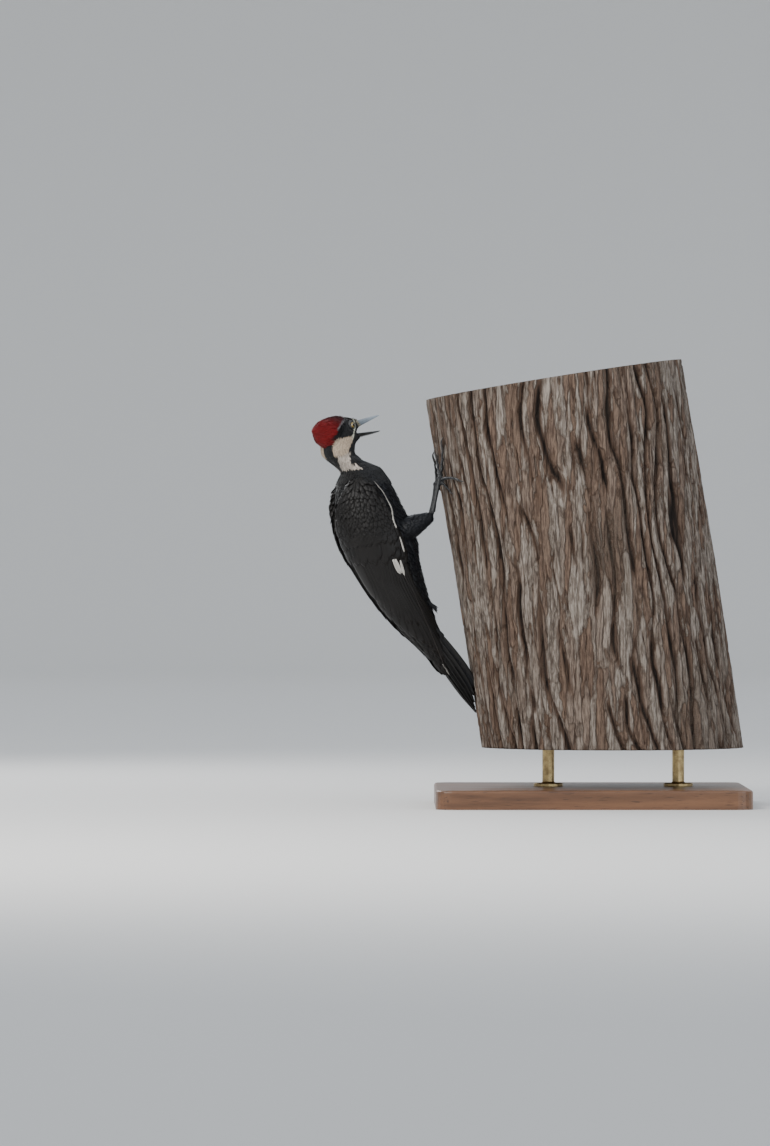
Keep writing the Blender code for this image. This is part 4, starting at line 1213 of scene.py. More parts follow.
for side, side_name in ((-1, "right"), (1, "left")):
    spines, ups, widths, white = [], [], [], []
    for stretch, start, count in ((LINING, 0.0, 100), (LINING_END, 0.7, 40)):
        points, outs = over_wing(side, stretch, count, 0.35)
        for k in range(0, len(points) - SPAN, PITCH):
            path = slice(k, k + SPAN + 1, SPAN // 4)
            wander = np.cross(points[k + SPAN] - points[k], outs[k])
            wander *= chance.normal(0, 0.18) * MM / np.linalg.norm(wander)
            lift = outs[path] * np.linspace(-0.4, 0.15, 5)[:, None] * MM
            spines.append(points[path] + wander + lift)
            ups.append(outs[path])
            gone = min(1.0, start + k / 90)
            widths.append((0.75 + 1.25 * gone) * chance.uniform(0.85, 1.1) * MM)
            white.append(PATCH_WHITE * (0.28 + 0.57 * gone))
    spines, ups = np.array(spines), np.array(ups)
    white = varied(np.array(white))
    lay(f"lining_{side_name}", COVERT, spines, ups, widths, white, root_patches(spines), *WING_LOOKS)
    made = [over_wing(side, (a, b), 7, 0.5) for a, b, _ in BASE_PATCHES]
    spines, ups = (np.array([m[k] for m in made]) for k in (0, 1))
    white = tints(len(made), 0.8 * PATCH_WHITE, 0.08)
    widths = [w * MM for _, _, w in BASE_PATCHES]
    lay(f"bases_{side_name}", COVERT, spines, ups, widths, white, root_patches(spines), *WING_LOOKS)
    # painted sheen along the primaries' edges, and a paler line at a tip
    made = [over_wing(side, points, 17, 0.4) for points in (*SHEEN_LINES, PALE_TIP)]
    spines, ups = (np.array([m[k] for m in made]) for k in (0, 1))
    grey = np.array([EDGE_SHEEN, 0.5 * EDGE_SHEEN, 0.35 * PATCH_WHITE])
    widths = np.array((0.7, 0.5, 1.3)) * MM
    lay(f"edges_{side_name}", FLIGHT, spines, ups, widths, grey, root_patches(spines), *WING_LOOKS)
print("wings feathered")

# %% [markdown]
# ## The tail
# A woodpecker props itself on its tail, so the feathers are stiff, pointed and curved in towards the trunk.
# There are five pairs to see, the middle one on top and longest. They lie on both faces of the thin skin.

# %% Feather the tail
TAIL_ROOT = np.array((36.0, 0.0, -65.5))
TAIL_TIP = np.array((107.5, 0.0, -164.5))
TAIL_BOW = 2.0
TAIL_HALVES = (14.0, 25.0, 17.0)  # half widths at the root, the widest place and the tip
TAIL_WIDEST = 0.6
TAIL_DROPS = (13.0, 19.0, 12.0)  # how far the edges fall away at root, middle and tip
TAIL_THICKNESS = 2.6
TAIL_PAIRS = 5
TAIL_STEP = 0.052  # each pair is this share of the tail shorter than the one above it
TAIL_ROOT_SHARE = 0.02
TAIL_SINK = 0.5
TAIL_LAYER = 0.09  # mm from one pair down to the next


def on_tail(along, across, face, lift):
    """Points and outward directions on the tail's outer (face 1) or inner (face -1) side."""
    down = TAIL_TIP - TAIL_ROOT
    onward = down / np.linalg.norm(down)
    out = np.cross((0, 1, 0), onward)

    def place(s, v):
        spread = np.sin(np.minimum(s / TAIL_WIDEST, 1) * math.pi / 2)
        half = TAIL_HALVES[0] + (TAIL_HALVES[1] - TAIL_HALVES[0]) * spread
        half += (TAIL_HALVES[2] - TAIL_HALVES[1]) * np.maximum(s - TAIL_WIDEST, 0) / (1 - TAIL_WIDEST)
        first, second, third = TAIL_DROPS
        drop = (first + (second - first) * 2 * s * (2 - 2 * s) + (third - first) * s * s) * v * v
        rise = TAIL_BOW * np.sin(math.pi * s) - drop
        side = np.stack([0 * s, v * half, 0 * s], -1)
        return TAIL_ROOT + down * s[..., None] + side + out * rise[..., None]

    at = place(along, across)
    step = 0.01
    run = place(along + step, across) - at
    cross = place(along, across + step) - at
    normal = unit(np.cross(cross, run)) * face
    normal = np.where((normal @ out * face)[..., None] < 0, -normal, normal)
    thick = TAIL_THICKNESS * (1 - 0.5 * along) * (1 - 0.5 * np.abs(across))
    at = at + normal * (thick / 2 + lift)[..., None]
    turn = np.array(BIRD)[:3, :3] / MM
    return through(BIRD, at.reshape(-1, 3)).reshape(at.shape), normal @ turn.T


for face, face_name in ((1, "outer"), (-1, "inner")):
    order = np.array([side * (pair + 0.5) for pair in range(TAIL_PAIRS) for side in (-1, 1)])
    pair = (np.abs(order) - 0.5).astype(int)
    t = np.linspace(0, 1, 11)
    ends = 1.0 - TAIL_STEP * pair
    along = TAIL_ROOT_SHARE + (ends[:, None] - TAIL_ROOT_SHARE) * t
    across = (order / TAIL_PAIRS)[:, None] * (0.92 + 0.08 * t)
    lift = -TAIL_SINK - TAIL_LAYER * pair[:, None] * face + 0 * along
    spines, ups = on_tail(along, across, face, lift)
    black = tints(len(order), BACK_BLACK, 0.12)
    widths = (15.5 - 0.9 * pair) * MM
    rolls = np.radians(2.2) * np.sign(order)
    patches = root_patches(spines)
    lay(f"tail_{face_name}", STIFF, spines, ups, widths, black, patches, *WING_LOOKS, rolls)
UPPER_COVERTS_Z, UNDER_COVERTS_Z = -108, -84  # how far down the tail its coverts start
over_tail = (face_kind == "tail") & (face_z > UPPER_COVERTS_Z) & dorsal
under_tail = (face_kind == "tail") & (face_z > UNDER_COVERTS_Z) & ~dorsal
coat("upper_tail_coverts", CONTOUR, over_tail, (3.0, 14.0, 4.2, 0.3), BODY_LOOKS, sway=0.04)
coat("under_tail_coverts", CONTOUR, under_tail, (3.4, 14.0, 5.0, 1.5), BODY_LOOKS, sway=0.06)
print("tail feathered")

# %% [markdown]
# A few feathers of the belly and of the under-tail have come loose and stand out towards the trunk.

# %% Loose tufts
TUFT_TIPS = (Vector((-0.1775, -0.0360, 0.2235)), Vector((-0.1695, -0.0350, 0.1945)))
spines, ups = [], []
for tip, count in zip(TUFT_TIPS, (8, 6)):
    for _ in range(count):
        start, _, _ = on_skin((np.array(tip) + (-6 * MM, 0, 15 * MM) + chance.normal(0, 1.6 * MM, 3))[None])
        end = np.array(tip) + (0, 0, 1.5 * MM) + chance.normal(0, 1.5 * MM, 3) * (0.5, 0.5, 1.5)
        t = np.linspace(0, 1, 6)[:, None]
        spines.append(start + (end - start) * t)
        ups.append(np.repeat(unit(np.array((0.3, -1.0, 0.1)) + chance.normal(0, 0.2, 3))[None], 6, 0))
spines, ups = np.array(spines), np.array(ups)
colours = varied(markings(spines[:, 0]), 0.1)
lay("tufts", CONTOUR, spines, ups, 2.3 * MM, colours, root_patches(spines), *BODY_LOOKS)

# %% [markdown]
# ## The bill
# Each half of the bill is a long wedge of horn, wide at its root and cut to a chisel tip, with a keel along
# the culmen and a ridge over the nostril. It is made as rings bridged into one skin, far finer than the
# solid that it replaces. Its root runs on into the head, so that no gap opens there, and the lower half is
# turned down about the jaw's hinge by the whole gape.

# %% The shape of one half
BILL_BASE, BILL_TIP = 22.0, 65.0
LOWER_BASE, LOWER_SHORT = 23.8, 1.5
UPPER_SIZE = (8.8, 12.6)  # width and twice the height of each half at its base
LOWER_SIZE = (7.8, 11.0)
BILL_SIDES = 36
BILL_RINGS = 44
BILL_SOCKET = 3.2  # how far each half runs on into the head
SOCKET_FIT = 0.86  # and how much slimmer it is there
KEEL, KEEL_WIDTH = 0.5, 0.16
RIDGE, RIDGE_PLACE, RIDGE_WIDTH = 0.32, 0.62, 0.13


def bill_half(name, node, lower, material):
    """One half of the bill. It keeps each point's place along it, for the horn's colour."""
    base = LOWER_BASE if lower else BILL_BASE
    tip = BILL_TIP - (LOWER_SHORT if lower else 0.0)
    wide, deep = LOWER_SIZE if lower else UPPER_SIZE
    bm = bmesh.new()
    rings = []
    for i in range(-1, BILL_RINGS + 1):
        s = (max(i, 0) / BILL_RINGS) ** 0.9
        f = base + (tip - base) * s - (BILL_SOCKET if i < 0 else 0)
        narrow = max(1 - s, 0.0)
        fit = SOCKET_FIT if i < 0 else 1.0
        half = fit * wide / 2 * (0.10 + 0.90 * narrow**0.85)
        tall = fit * deep / 2 * (0.13 + 0.87 * narrow ** (0.72 if lower else 0.85))
        made = bmesh.ops.create_circle(bm, segments=BILL_SIDES, radius=1.0)
        for k, vert in enumerate(made["verts"]):
            angle = 2 * math.pi * k / BILL_SIDES
            c, h = math.cos(angle), math.sin(angle)
            rise = max(h, 0.0) ** 1.15 * tall * (1 if not lower else 0.9)
            keel = KEEL * math.exp(-((c / KEEL_WIDTH) ** 2)) * narrow**0.5 * (h > 0)
            ridge = RIDGE * math.exp(-(((abs(c) - RIDGE_PLACE) / RIDGE_WIDTH) ** 2)) * (h > 0) * narrow
            trough = 0.35 * min(h, 0.0) * half
            l, up = half * c + math.copysign(ridge, c) * 0.6, rise + keel + ridge + trough * 0.3
            vert.co = (f, l, MOUTH_LINE + (-up if lower else up))
        rings.append(made["verts"])
    for first, second in zip(rings, rings[1:]):
        edges = []
        for ring in (first, second):
            inside = set(ring)
            edges += [e for e in {e for v in ring for e in v.link_edges} if set(e.verts) <= inside]
        bmesh.ops.bridge_loops(bm, edges=edges)
    bmesh.ops.holes_fill(bm, edges=[e for e in bm.edges if e.is_boundary], sides=0)
    bmesh.ops.recalc_face_normals(bm, faces=bm.faces[:])
    matrix = HEAD.copy()
    if lower:
        hinge = Vector((JAW_HINGE, 0, MOUTH_LINE))
        drop = Matrix.Rotation(GAPE_ANGLE, 4, "Y")
        matrix = HEAD @ Matrix.Translation(hinge) @ drop @ Matrix.Translation(-hinge)
    along = bm.verts.layers.float.new("Along")
    for vert in bm.verts:
        vert[along] = (vert.co.x - base) / (tip - base)
    bmesh.ops.transform(bm, matrix=matrix, verts=bm.verts[:])
    made = object_from(name, bm, material)
    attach(made, "root")
    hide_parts(node)
    return made


# %% [markdown]
# Horn grows in layers, so it is streaked along the bill. It is matt where it is worn and has a little gloss
# between, and its colour runs from the root's to the tip's by the place that each point keeps.


# %% Two halves of horn
def horn(name, root, tip):
    """Layered, finely streaked horn, from its root's colour to its tip's."""
    made, bench = new_material(
        name, Roughness=0.32, Specular_IOR_Level=0.5, Coat_Weight=0.15, Coat_Roughness=0.2
    )
    space, along = bench.space(), bench.kept("Along")
    streak = bench.noise(bench.scaled(space, (900, 900, 160)), 1.0, 4.0, 0.6)
    cloud = bench.noise(space, 95.0)
    tone = bench.mix(bench.range(along, 0.1, 0.95), (*root, 1), (*tip, 1))
    dark = bench.mix(1.0, tone, (0.74, 0.74, 0.75, 1), "MULTIPLY")
    worn = bench.mix(bench.range(bench.sum("MULTIPLY", streak, cloud), 0.10, 0.34), dark, tone)
    bench.finish(worn, streak, roughness=bench.range(cloud, 0.3, 0.7, 0.26, 0.42))
    return made


# painted light: the upper half's pale blue-grey, brightening to the tip, is a painted reflection of the sky on
# dark slate horn, and the lower half's near-black is painted shade over its paler horn
upper_horn = horn("upper_horn", (0.120, 0.145, 0.170), (0.290, 0.345, 0.390))
lower_horn = horn("lower_horn", (0.014, 0.015, 0.016), (0.050, 0.053, 0.056))
upper = bill_half("upper_bill", "bill_upper", False, upper_horn)
lower = bill_half("lower_bill", "bill_lower", True, lower_horn)
print("bill:", len(upper.data.polygons) + len(lower.data.polygons), "faces")

# %% [markdown]
# Short, stiff, buff feathers grow forward over the nostrils, where dust from the chiselled wood would get in.

# %% Nasal tufts
TUFT_BUFF = np.array((0.190, 0.170, 0.122))
at_nostril = (face_kind == "head") & (face_f > 16.5) & (face_u > -1.5) & (face_u < 8)
roots, _ = scatter(at_nostril & ~bare, 0.5 * MM)
forward = unit(np.array(HEAD.col[0][:3]))
steps = 4
t = np.linspace(0, 1, steps + 1)[None, :, None]
start, out, _ = on_skin(roots)
course = unit(forward + out * 0.06 + chance.normal(0, 0.10, out.shape))
lengths = chance.uniform(2.6, 5.2, (len(roots), 1, 1)) * MM
spines = start[:, None] - out[:, None] * 0.2 * MM + course[:, None] * t * lengths
ups = np.repeat(unit(out - course * (out * course).sum(1, keepdims=True))[:, None], steps + 1, 1)
buff = tints(len(roots), TUFT_BUFF, 0.18)
dark_top = through(HEAD.inverted(), roots)[:, 2] > 5.0
buff[dark_top] *= 0.25
lay("nasal_tufts", PLUME, spines, ups, 0.42 * MM, buff, root_patches(spines), *FACE_LOOKS)

# %% [markdown]
# ## Eyes
# The eye is a wet ball with a dull yellow iris round a black pupil. The colour rings are drawn by the angle
# from the direction of gaze, kept on the mesh as an attribute, with fine spokes in the iris. A clear coat
# gives the gloss of the cornea. The lids are one band bent round the ball, and tiny feathers climb over them.

# %% Materials of eye and lid
PUPIL, IRIS, CORNEA = (18.5, 20.0), (38.0, 46.0), (46.0, 50.0)  # degrees over which each of these ends

iris_paint, bench = new_material(
    "iris", Roughness=0.12, Specular_IOR_Level=0.6, Coat_Weight=1.0, Coat_Roughness=0.02
)
angle, spin = bench.kept("Gaze"), bench.kept("Spoke")
round_it, outwards = bench.sum("MULTIPLY", spin, 26.0), bench.sum("MULTIPLY", angle, 0.06)
spokes = bench.put("ShaderNodeCombineXYZ", i0=round_it, i1=outwards)
fibre = bench.noise(spokes.outputs[0], 1.0, 3.0, 0.7)
iris = bench.mix(bench.range(fibre, 0.3, 0.7), (0.10, 0.060, 0.010, 1), (0.30, 0.21, 0.045, 1))
iris = bench.mix(bench.range(angle, *IRIS), iris, (0.05, 0.032, 0.012, 1))
pupil = bench.mix(bench.range(angle, *PUPIL), (0.002, 0.002, 0.002, 1), iris)
bench.finish(bench.mix(bench.range(angle, *CORNEA), pupil, (0.035, 0.025, 0.022, 1)))

LID_SKIN, bench = new_material("lid_skin", Roughness=0.45, Specular_IOR_Level=0.4)
grain = bench.put("ShaderNodeTexVoronoi", i0=bench.space(), Scale=2600.0).outputs["Distance"]
tone = bench.mix(bench.range(grain, 0.1, 0.6), (0.05, 0.052, 0.055, 1), (0.019, 0.019, 0.02, 1))
bench.finish(tone, grain, 0.5)
print("iris and lid skin made")


# %% Eyeballs
EYE_RADIUS = 4.9
EYE_SET_BACK = 0.9


def eyeball(node, centre, gaze):
    """A ball with a slight bulge in front. Each point keeps its angle from the gaze and its turn round it."""
    ball = bmesh.new()
    bmesh.ops.create_uvsphere(ball, u_segments=48, v_segments=32, radius=EYE_RADIUS * MM)
    angles = ball.verts.layers.float.new("Gaze")
    spins = ball.verts.layers.float.new("Spoke")
    for vert in ball.verts:
        lean = math.degrees(vert.co.normalized().angle(Vector((0, 0, 1)), 0.0))
        vert[angles] = lean
        vert[spins] = abs(math.atan2(vert.co.y, vert.co.x)) / math.pi * 6
        bulge = 1 + 0.04 * max(0.0, 1 - lean / CORNEA[0])
        vert.co.z *= bulge if lean < 60 else 1.0
    turn = gaze.to_track_quat("Z", "Y").to_matrix().to_4x4()
    bmesh.ops.transform(ball, matrix=Matrix.Translation(centre) @ turn, verts=ball.verts[:])
    made = object_from(node + "_ball", ball, iris_paint)
    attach(made, "root")
    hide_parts(node)


# %% Lids
LID_RADIUS = 5.05
LID_SWELL = 0.5
LID_OPENING = 51.0  # degrees from the direction of gaze to the lids' rim
LID_FEATHERS = 260


def eyelids(node, centre, lid_turn):
    """A band round the ball, thickest at its rim, with an almond-shaped opening."""
    band = bmesh.new()
    bmesh.ops.create_grid(band, x_segments=72, y_segments=6, size=1.0)
    for vert in band.verts:
        round_it, width = math.pi * (vert.co.x + 1), (vert.co.y + 1) / 2
        almond = 7.0 * abs(math.sin(round_it)) ** 1.5
        lean = math.radians(LID_OPENING - almond + (42.0 + almond) * width)
        swell = LID_SWELL * math.sin(math.pi * min(1.0, 0.22 + 0.9 * width)) * (1 - width)
        beside = math.sin(lean)
        ring = Vector((beside * math.cos(round_it), beside * math.sin(round_it), math.cos(lean)))
        vert.co = ring * (LID_RADIUS + swell) * MM
    bmesh.ops.remove_doubles(band, verts=band.verts[:], dist=0.001 * MM)
    bmesh.ops.solidify(band, geom=band.faces[:], thickness=0.35 * MM)
    bmesh.ops.recalc_face_normals(band, faces=band.faces[:])
    bmesh.ops.transform(band, matrix=Matrix.Translation(centre) @ lid_turn, verts=band.verts[:])
    made = object_from(node + "_lids", band, LID_SKIN)
    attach(made, "root")


def lid_feathers(node, centre, lid_turn):
    """Tiny feathers over the lids, up to the bare rim, that lie back towards the nape."""
    spin = 2 * math.pi * chance.random(LID_FEATHERS)
    lean = np.radians(chance.uniform(64, 100, LID_FEATHERS))
    dome = np.stack([np.sin(lean) * np.cos(spin), np.sin(lean) * np.sin(spin), np.cos(lean)], 1)
    dome = dome @ np.array(lid_turn)[:3, :3].T
    course = unit(dome * (dome @ HEAD_FORWARD)[:, None] - HEAD_FORWARD)
    t = np.linspace(-0.3, 0.7, 4)[None, :, None]
    outs = unit(dome[:, None] + course[:, None] * t * 0.40)
    spines = np.array(centre) + outs * (LID_RADIUS + 0.15 + 0.45 * (t + 0.3)) * MM
    colours = varied(markings(spines[:, 1]))
    lay(f"coat_{node}", SMALL, spines, outs, 0.85 * MM, colours, root_patches(spines), *FACE_LOOKS)


for side, node in ((-1, "eye_right"), (1, "eye_left")):
    gaze = Vector(HEAD_TURN.to_3x3() @ Vector((0.10, side, 0.05)).normalized())
    gaze = Matrix.Rotation(BODY_YAW, 3, "Z") @ gaze
    centre = middle(node) - gaze * EYE_SET_BACK * MM
    eyeball(node, centre, gaze)
    level = gaze.cross(Vector((0, 0, 1))).normalized()
    lid_turn = Matrix((level, gaze.cross(level), gaze)).transposed().to_4x4()
    eyelids(node, centre, lid_turn)
    lid_feathers(node, centre, lid_turn)
print("eyes set")

# %% [markdown]
# ## Feet
# A bird's toes and lower legs wear overlapping horny plates, the scutes, across their upper sides. Each plate
# is a short curved tile. They are laid like feathers along the middle line of each toe, with the plates'
# edges standing just proud of the skin, so that light catches them.

# %% One plate and its material
SCUTE_GREY = np.array((0.018, 0.020, 0.023))
SCUTE_PITCH, SCUTE_LENGTH = 1.7, 2.1
SCUTE_WIDTHS = (2.2 * MM, 5.0 * MM)


def flat_ended(along):
    """An outline with a straight root and a nearly straight end."""
    return 0.86 + 0.14 * math.sin(math.pi * min(along * 1.2, 1.0))


SCUTE = Pattern(6, 3, flat_ended, 0.7, 0.05)
LEG_SCALES, bench = new_material("leg_scales", Roughness=0.42, Specular_IOR_Level=0.5)
grain = bench.noise(bench.space(), 1400.0, 4.0)
own_colour = bench.kept("Coat", "Color")
bench.finish(bench.mix(bench.range(grain, 0.42, 0.68), own_colour, (0.036, 0.035, 0.033, 1)), grain, 0.3)
print("plate of", len(SCUTE.faces), "faces")


# %% Lay the plates along the toes and legs
def node_places(name):
    return np.array([v.co for v in NODES[name].data.vertices])


def principal(points):
    """The direction in which a cloud of points is longest."""
    away = points - points.mean(0)
    return np.linalg.svd(away, full_matrices=False)[2][0]


LOG_LEAN = math.radians(9.0)
LOG_AXIS = Vector((-math.sin(LOG_LEAN), 0, math.cos(LOG_LEAN)))
LOG_FOOT = Vector((0.026, 0.0, 0.067))


def from_log(points):
    """The direction straight away from the trunk's middle line at each point."""
    away = points - np.array(LOG_FOOT)
    axis = np.array(LOG_AXIS)
    return unit(away - (away @ axis)[:, None] * axis)


def plates(name):
    """The plates of one toe or leg, as rows of root, course, outward direction and width."""
    points = node_places(name)
    course = principal(points)
    if course @ (points.mean(0) - np.array(foot_centre(name.split("_")[-1]))) < 0:
        course = -course
    at = points @ course
    length = at.max() - at.min()
    count = int(length / (SCUTE_PITCH * MM))
    found = []
    for k in range(count):
        level = at.min() + length * (k + 0.5) / count
        near = points[np.abs(at - level) < length / 9]
        if len(near) < 3:
            continue
        core = near.mean(0) + course * (level - near.mean(0) @ course)
        if name.startswith("toe_"):
            out = from_log(core[None])[0]
        else:
            out = -0.3 * BODY_FORWARD + (0, -1.0 if "right" in name else 1.0, 0)
        out = unit(out - course * (out @ course))
        hit = skin_tree.ray_cast(Vector(core + out * 8 * MM), Vector(-out), 16 * MM)[0]
        if hit is not None:
            found.append((np.array(hit), course, out, 2 * (np.array(hit) - core) @ out))
    return found


limbs = [n for n in NODES if n.startswith(("toe_", "tarsus_"))]
roots, courses, outs, sizes = (np.array(v) for v in zip(*(p for name in limbs for p in plates(name))))
sizes = sizes.clip(*SCUTE_WIDTHS)
t = np.linspace(-0.4, 0.6, 3)[None, :, None]
lift = 0.06 + 0.16 * (t + 0.4)
spines = roots[:, None] + courses[:, None] * t * SCUTE_LENGTH * MM + outs[:, None] * lift * MM
ups = np.repeat(outs[:, None], 3, 1)
grey = tints(len(roots), SCUTE_GREY, 0.15)
lay("scutes", SCUTE, spines, ups, sizes * 0.98, grey, root_patches(spines), LEG_SCALES, "leg")

# %% [markdown]
# ## Claws
# Claws are hooks of dark horn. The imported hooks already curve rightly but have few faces, so each is copied,
# its doubled points are merged, and its faces are cut into quarters and eased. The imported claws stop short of
# the toes, so the faces of the base are then drawn out into the toe, and no gap shows.

# %% Round the claws
CLAW_BASE = 2.6  # mm from the end nearest the toe: the faces of the base are all within it
CLAW_BASE_FACING = 0.7
CLAW_ROOT, CLAW_ROOT_SIZE = 2.4, 0.62  # how far the base runs on, and its size there

claw_horn, bench = new_material(
    "claw_horn", Roughness=0.4, Specular_IOR_Level=0.4, Coat_Weight=0.05, Coat_Roughness=0.3
)
streak = bench.noise(bench.scaled(bench.space(), (700, 700, 260)), 1.0, 4.0, 0.65)
tone = bench.mix(bench.range(streak, 0.35, 0.7), (0.010, 0.009, 0.009, 1), (0.045, 0.041, 0.037, 1))
bench.finish(tone, streak, 0.3)


def eased_hook(name):
    """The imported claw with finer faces."""
    hook = bmesh.new()
    hook.from_mesh(NODES[name].data)
    bmesh.ops.remove_doubles(hook, verts=hook.verts[:], dist=0.01 * MM)
    flat = {"angle_face_threshold": 0.9, "angle_shape_threshold": 0.9}
    bmesh.ops.join_triangles(hook, faces=hook.faces[:], **flat)
    bmesh.ops.subdivide_edges(hook, edges=hook.edges[:], cuts=1, use_grid_fill=True)
    every_way = {"use_axis_x": True, "use_axis_y": True, "use_axis_z": True}
    for _ in range(2):
        bmesh.ops.smooth_vert(hook, verts=hook.verts[:], factor=0.3, **every_way)
    bmesh.ops.recalc_face_normals(hook, faces=hook.faces[:])
    return hook


def run_into_toe(hook, toe):
    """Draws the faces of the claw's base out, away from its tip."""
    base = min(hook.verts, key=lambda v: (v.co - toe).length).co.copy()
    cap = [f for f in hook.faces if (f.calc_center_median() - base).length < CLAW_BASE * MM]
    cap = [f for f in cap if f.normal.dot((toe - base).normalized()) > CLAW_BASE_FACING]
    back = sum((f.normal * f.calc_area() for f in cap), Vector()).normalized()
    grown = bmesh.ops.extrude_face_region(hook, geom=cap)["geom"]
    grown = [v for v in grown if isinstance(v, bmesh.types.BMVert)]
    bmesh.ops.delete(hook, geom=cap, context="FACES_ONLY")
    centre = sum((v.co for v in grown), Vector()) / len(grown)
    for v in grown:
        v.co = centre + (v.co - centre) * CLAW_ROOT_SIZE + back * CLAW_ROOT * MM
    bmesh.ops.recalc_face_normals(hook, faces=hook.faces[:])


claws = [n for n in NODES if n.startswith("claw_")]
for name in claws:
    hook = eased_hook(name)
    run_into_toe(hook, Vector(node_places(name.replace("claw_", "toe_")).mean(0)))
    made = object_from(name + "_horn", hook, claw_horn)
    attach(made, "root")
    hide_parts(name)
print(len(claws), "claws rounded")

# %% [markdown]
# ## The trunk
# Old bark splits as the wood inside grows. It breaks into long upright ridges with deep furrows between. The
# trunk is a fine grid wrapped round its leaning middle line. Furrows are lines up the trunk at even bearings,
# and smooth noise, which joins itself all the way round, makes them wander, fade and start again. They only
# go inwards, so the ridges' tops stay on the solid, and they are shallower under the feet. Each point keeps
# its place between furrow and ridge, and the colours follow it.

# %% The trunk's measures and its noise
LOG_TOP = 0.430
LOG_RADIUS = 0.151
BARK_ROUND, BARK_UP = 560, 160
FURROW = 7.0
GRIP_REACH = 0.034  # metres round a foot in which the furrows are shallower
GRIP_SHARE = 0.62
NOISE_START = 0.05  # metres below the trunk's foot, where the grids of noise begin


def log_outward(bearing):
    """Straight out from the trunk's middle line at each bearing."""
    across = np.stack([-np.cos(bearing), 0 * bearing, 0 * bearing], -1) * math.cos(LOG_LEAN)
    across[..., 2] = -math.sin(LOG_LEAN) * np.cos(bearing)
    across[..., 1] = -np.sin(bearing)
    return across


def log_surface(height, bearing):
    """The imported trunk's radius at a height along its middle line and a bearing round it."""
    wave = 0.5 * np.sin(9 * height)
    swell = 0.6 * np.cos(3 * bearing + 1.3 + wave) + 0.4 * np.cos(7 * bearing - 0.6 - 2 * wave)
    return LOG_RADIUS + 0.0022 * swell - 0.0011


def wrapped_noise(height, bearing, around, along, seed, octaves=3):
    """Smooth noise on the trunk that meets itself: random values on a grid, read with smooth steps."""
    source = np.random.default_rng(seed)
    total, weight = 0.0, 1.0
    for octave in range(octaves):
        columns = around * 2**octave
        rows = int(0.6 * along * 2**octave) + 3
        grid = source.random((rows, columns))
        u = (bearing / (2 * math.pi)) % 1.0 * columns
        v = ((height + NOISE_START) * along * 2**octave) % (rows - 1)
        i, j = np.floor(v).astype(int), np.floor(u).astype(int)
        s, t = v - i, u - j
        s, t = s * s * (3 - 2 * s), t * t * (3 - 2 * t)
        a, b = grid[i % rows, j % columns], grid[i % rows, (j + 1) % columns]
        c, d = grid[(i + 1) % rows, j % columns], grid[(i + 1) % rows, (j + 1) % columns]
        total = total + weight * ((a * (1 - t) + b * t) * (1 - s) + (c * (1 - t) + d * t) * s)
        weight *= 0.5
    return total / (2 - 2 * weight)


def furrows(height, bearing, count, along, drift, width, seed):
    """0 in the middle of a furrow, 1 beside it. They drift sideways, and fade and start again."""
    sway = wrapped_noise(height, bearing, count // 3, along, seed, 3) - 0.5
    place = bearing / (2 * math.pi) * count + drift * sway
    beside = np.clip(np.abs(place % 1.0 - 0.5) * 2 / width, 0, 1) ** 0.7
    fade = np.clip(3.0 * wrapped_noise(height, bearing, count, 2.2 * along, seed + 1, 2) - 0.75, 0, 1)
    return 1 - fade * (1 - beside)


def bark_relief(height, bearing):
    """0 in the bottom of a furrow to 1 on a ridge: deep furrows, finer ones, breaks across and roughness."""
    relief = furrows(height, bearing, 42, 7.0, 2.3, 0.55, 11)
    relief = relief * (0.50 + 0.50 * furrows(height, bearing, 93, 13.0, 2.2, 0.5, 17))
    breaks = wrapped_noise(height, bearing, 60, 24.0, 29, 2)
    relief = relief * (0.84 + 0.16 * np.clip(np.abs(breaks - 0.5) * 2 / 0.10, 0, 1) ** 0.5)
    rough = wrapped_noise(height, bearing, 150, 60.0, 31, 2)
    return np.clip(relief - 0.14 * rough, 0, 1)


# %% Wrap and furrow the bark
bark = bmesh.new()
bmesh.ops.create_grid(bark, x_segments=BARK_ROUND, y_segments=BARK_UP, size=0.5)
grid = np.array([v.co for v in bark.verts])
bearing = 2 * math.pi * (grid[:, 0] + 0.5)
share = grid[:, 1] + 0.5
lowest = math.tan(LOG_LEAN) * np.cos(bearing) * LOG_RADIUS
height = lowest + (LOG_TOP - lowest) * share
relief = bark_relief(height, bearing)
grip = np.zeros(len(grid))
for side_name in ("right", "left"):
    foot = foot_centre(side_name)
    flat = np.array(LOG_FOOT) + np.array(LOG_AXIS) * height[:, None] + log_outward(bearing) * LOG_RADIUS
    away = np.linalg.norm(flat - np.array(foot), axis=1)
    grip = np.maximum(grip, np.exp(-((away / GRIP_REACH) ** 4)))
depth = FURROW * MM * (1 - relief) * (1 - GRIP_SHARE * grip)
radius = log_surface(height, bearing) - depth
points = np.array(LOG_FOOT) + np.array(LOG_AXIS) * height[:, None] + log_outward(bearing) * radius[:, None]
points[share < 1e-6, 2] = LOG_FOOT.z
tone_layer = bark.verts.layers.float.new("Relief")
round_layer = bark.loops.layers.uv.new("Round")  # a flat map, unrolled from the trunk
for face in bark.faces:
    for loop in face.loops:
        loop[round_layer].uv = (loop.vert.co.x + 0.5, loop.vert.co.y + 0.5)
for vert, point, value in zip(bark.verts, points, relief):
    vert.co = point
    vert[tone_layer] = value
bmesh.ops.remove_doubles(bark, verts=bark.verts[:], dist=0.002 * MM)
bark.normal_update()
print("bark:", len(bark.faces), "faces")

# %% [markdown]
# The wrapped grid is open above and below. Each open rim is drawn inwards in steps to close it with a sawn
# end, and the faces of the two ends, which lie square to the trunk, get the second material.

# %% Close the sawn ends
END_STEPS = (0.985, 0.9, 0.55, 0.02)
END_FACING = 0.85
END_RADIUS = 0.150

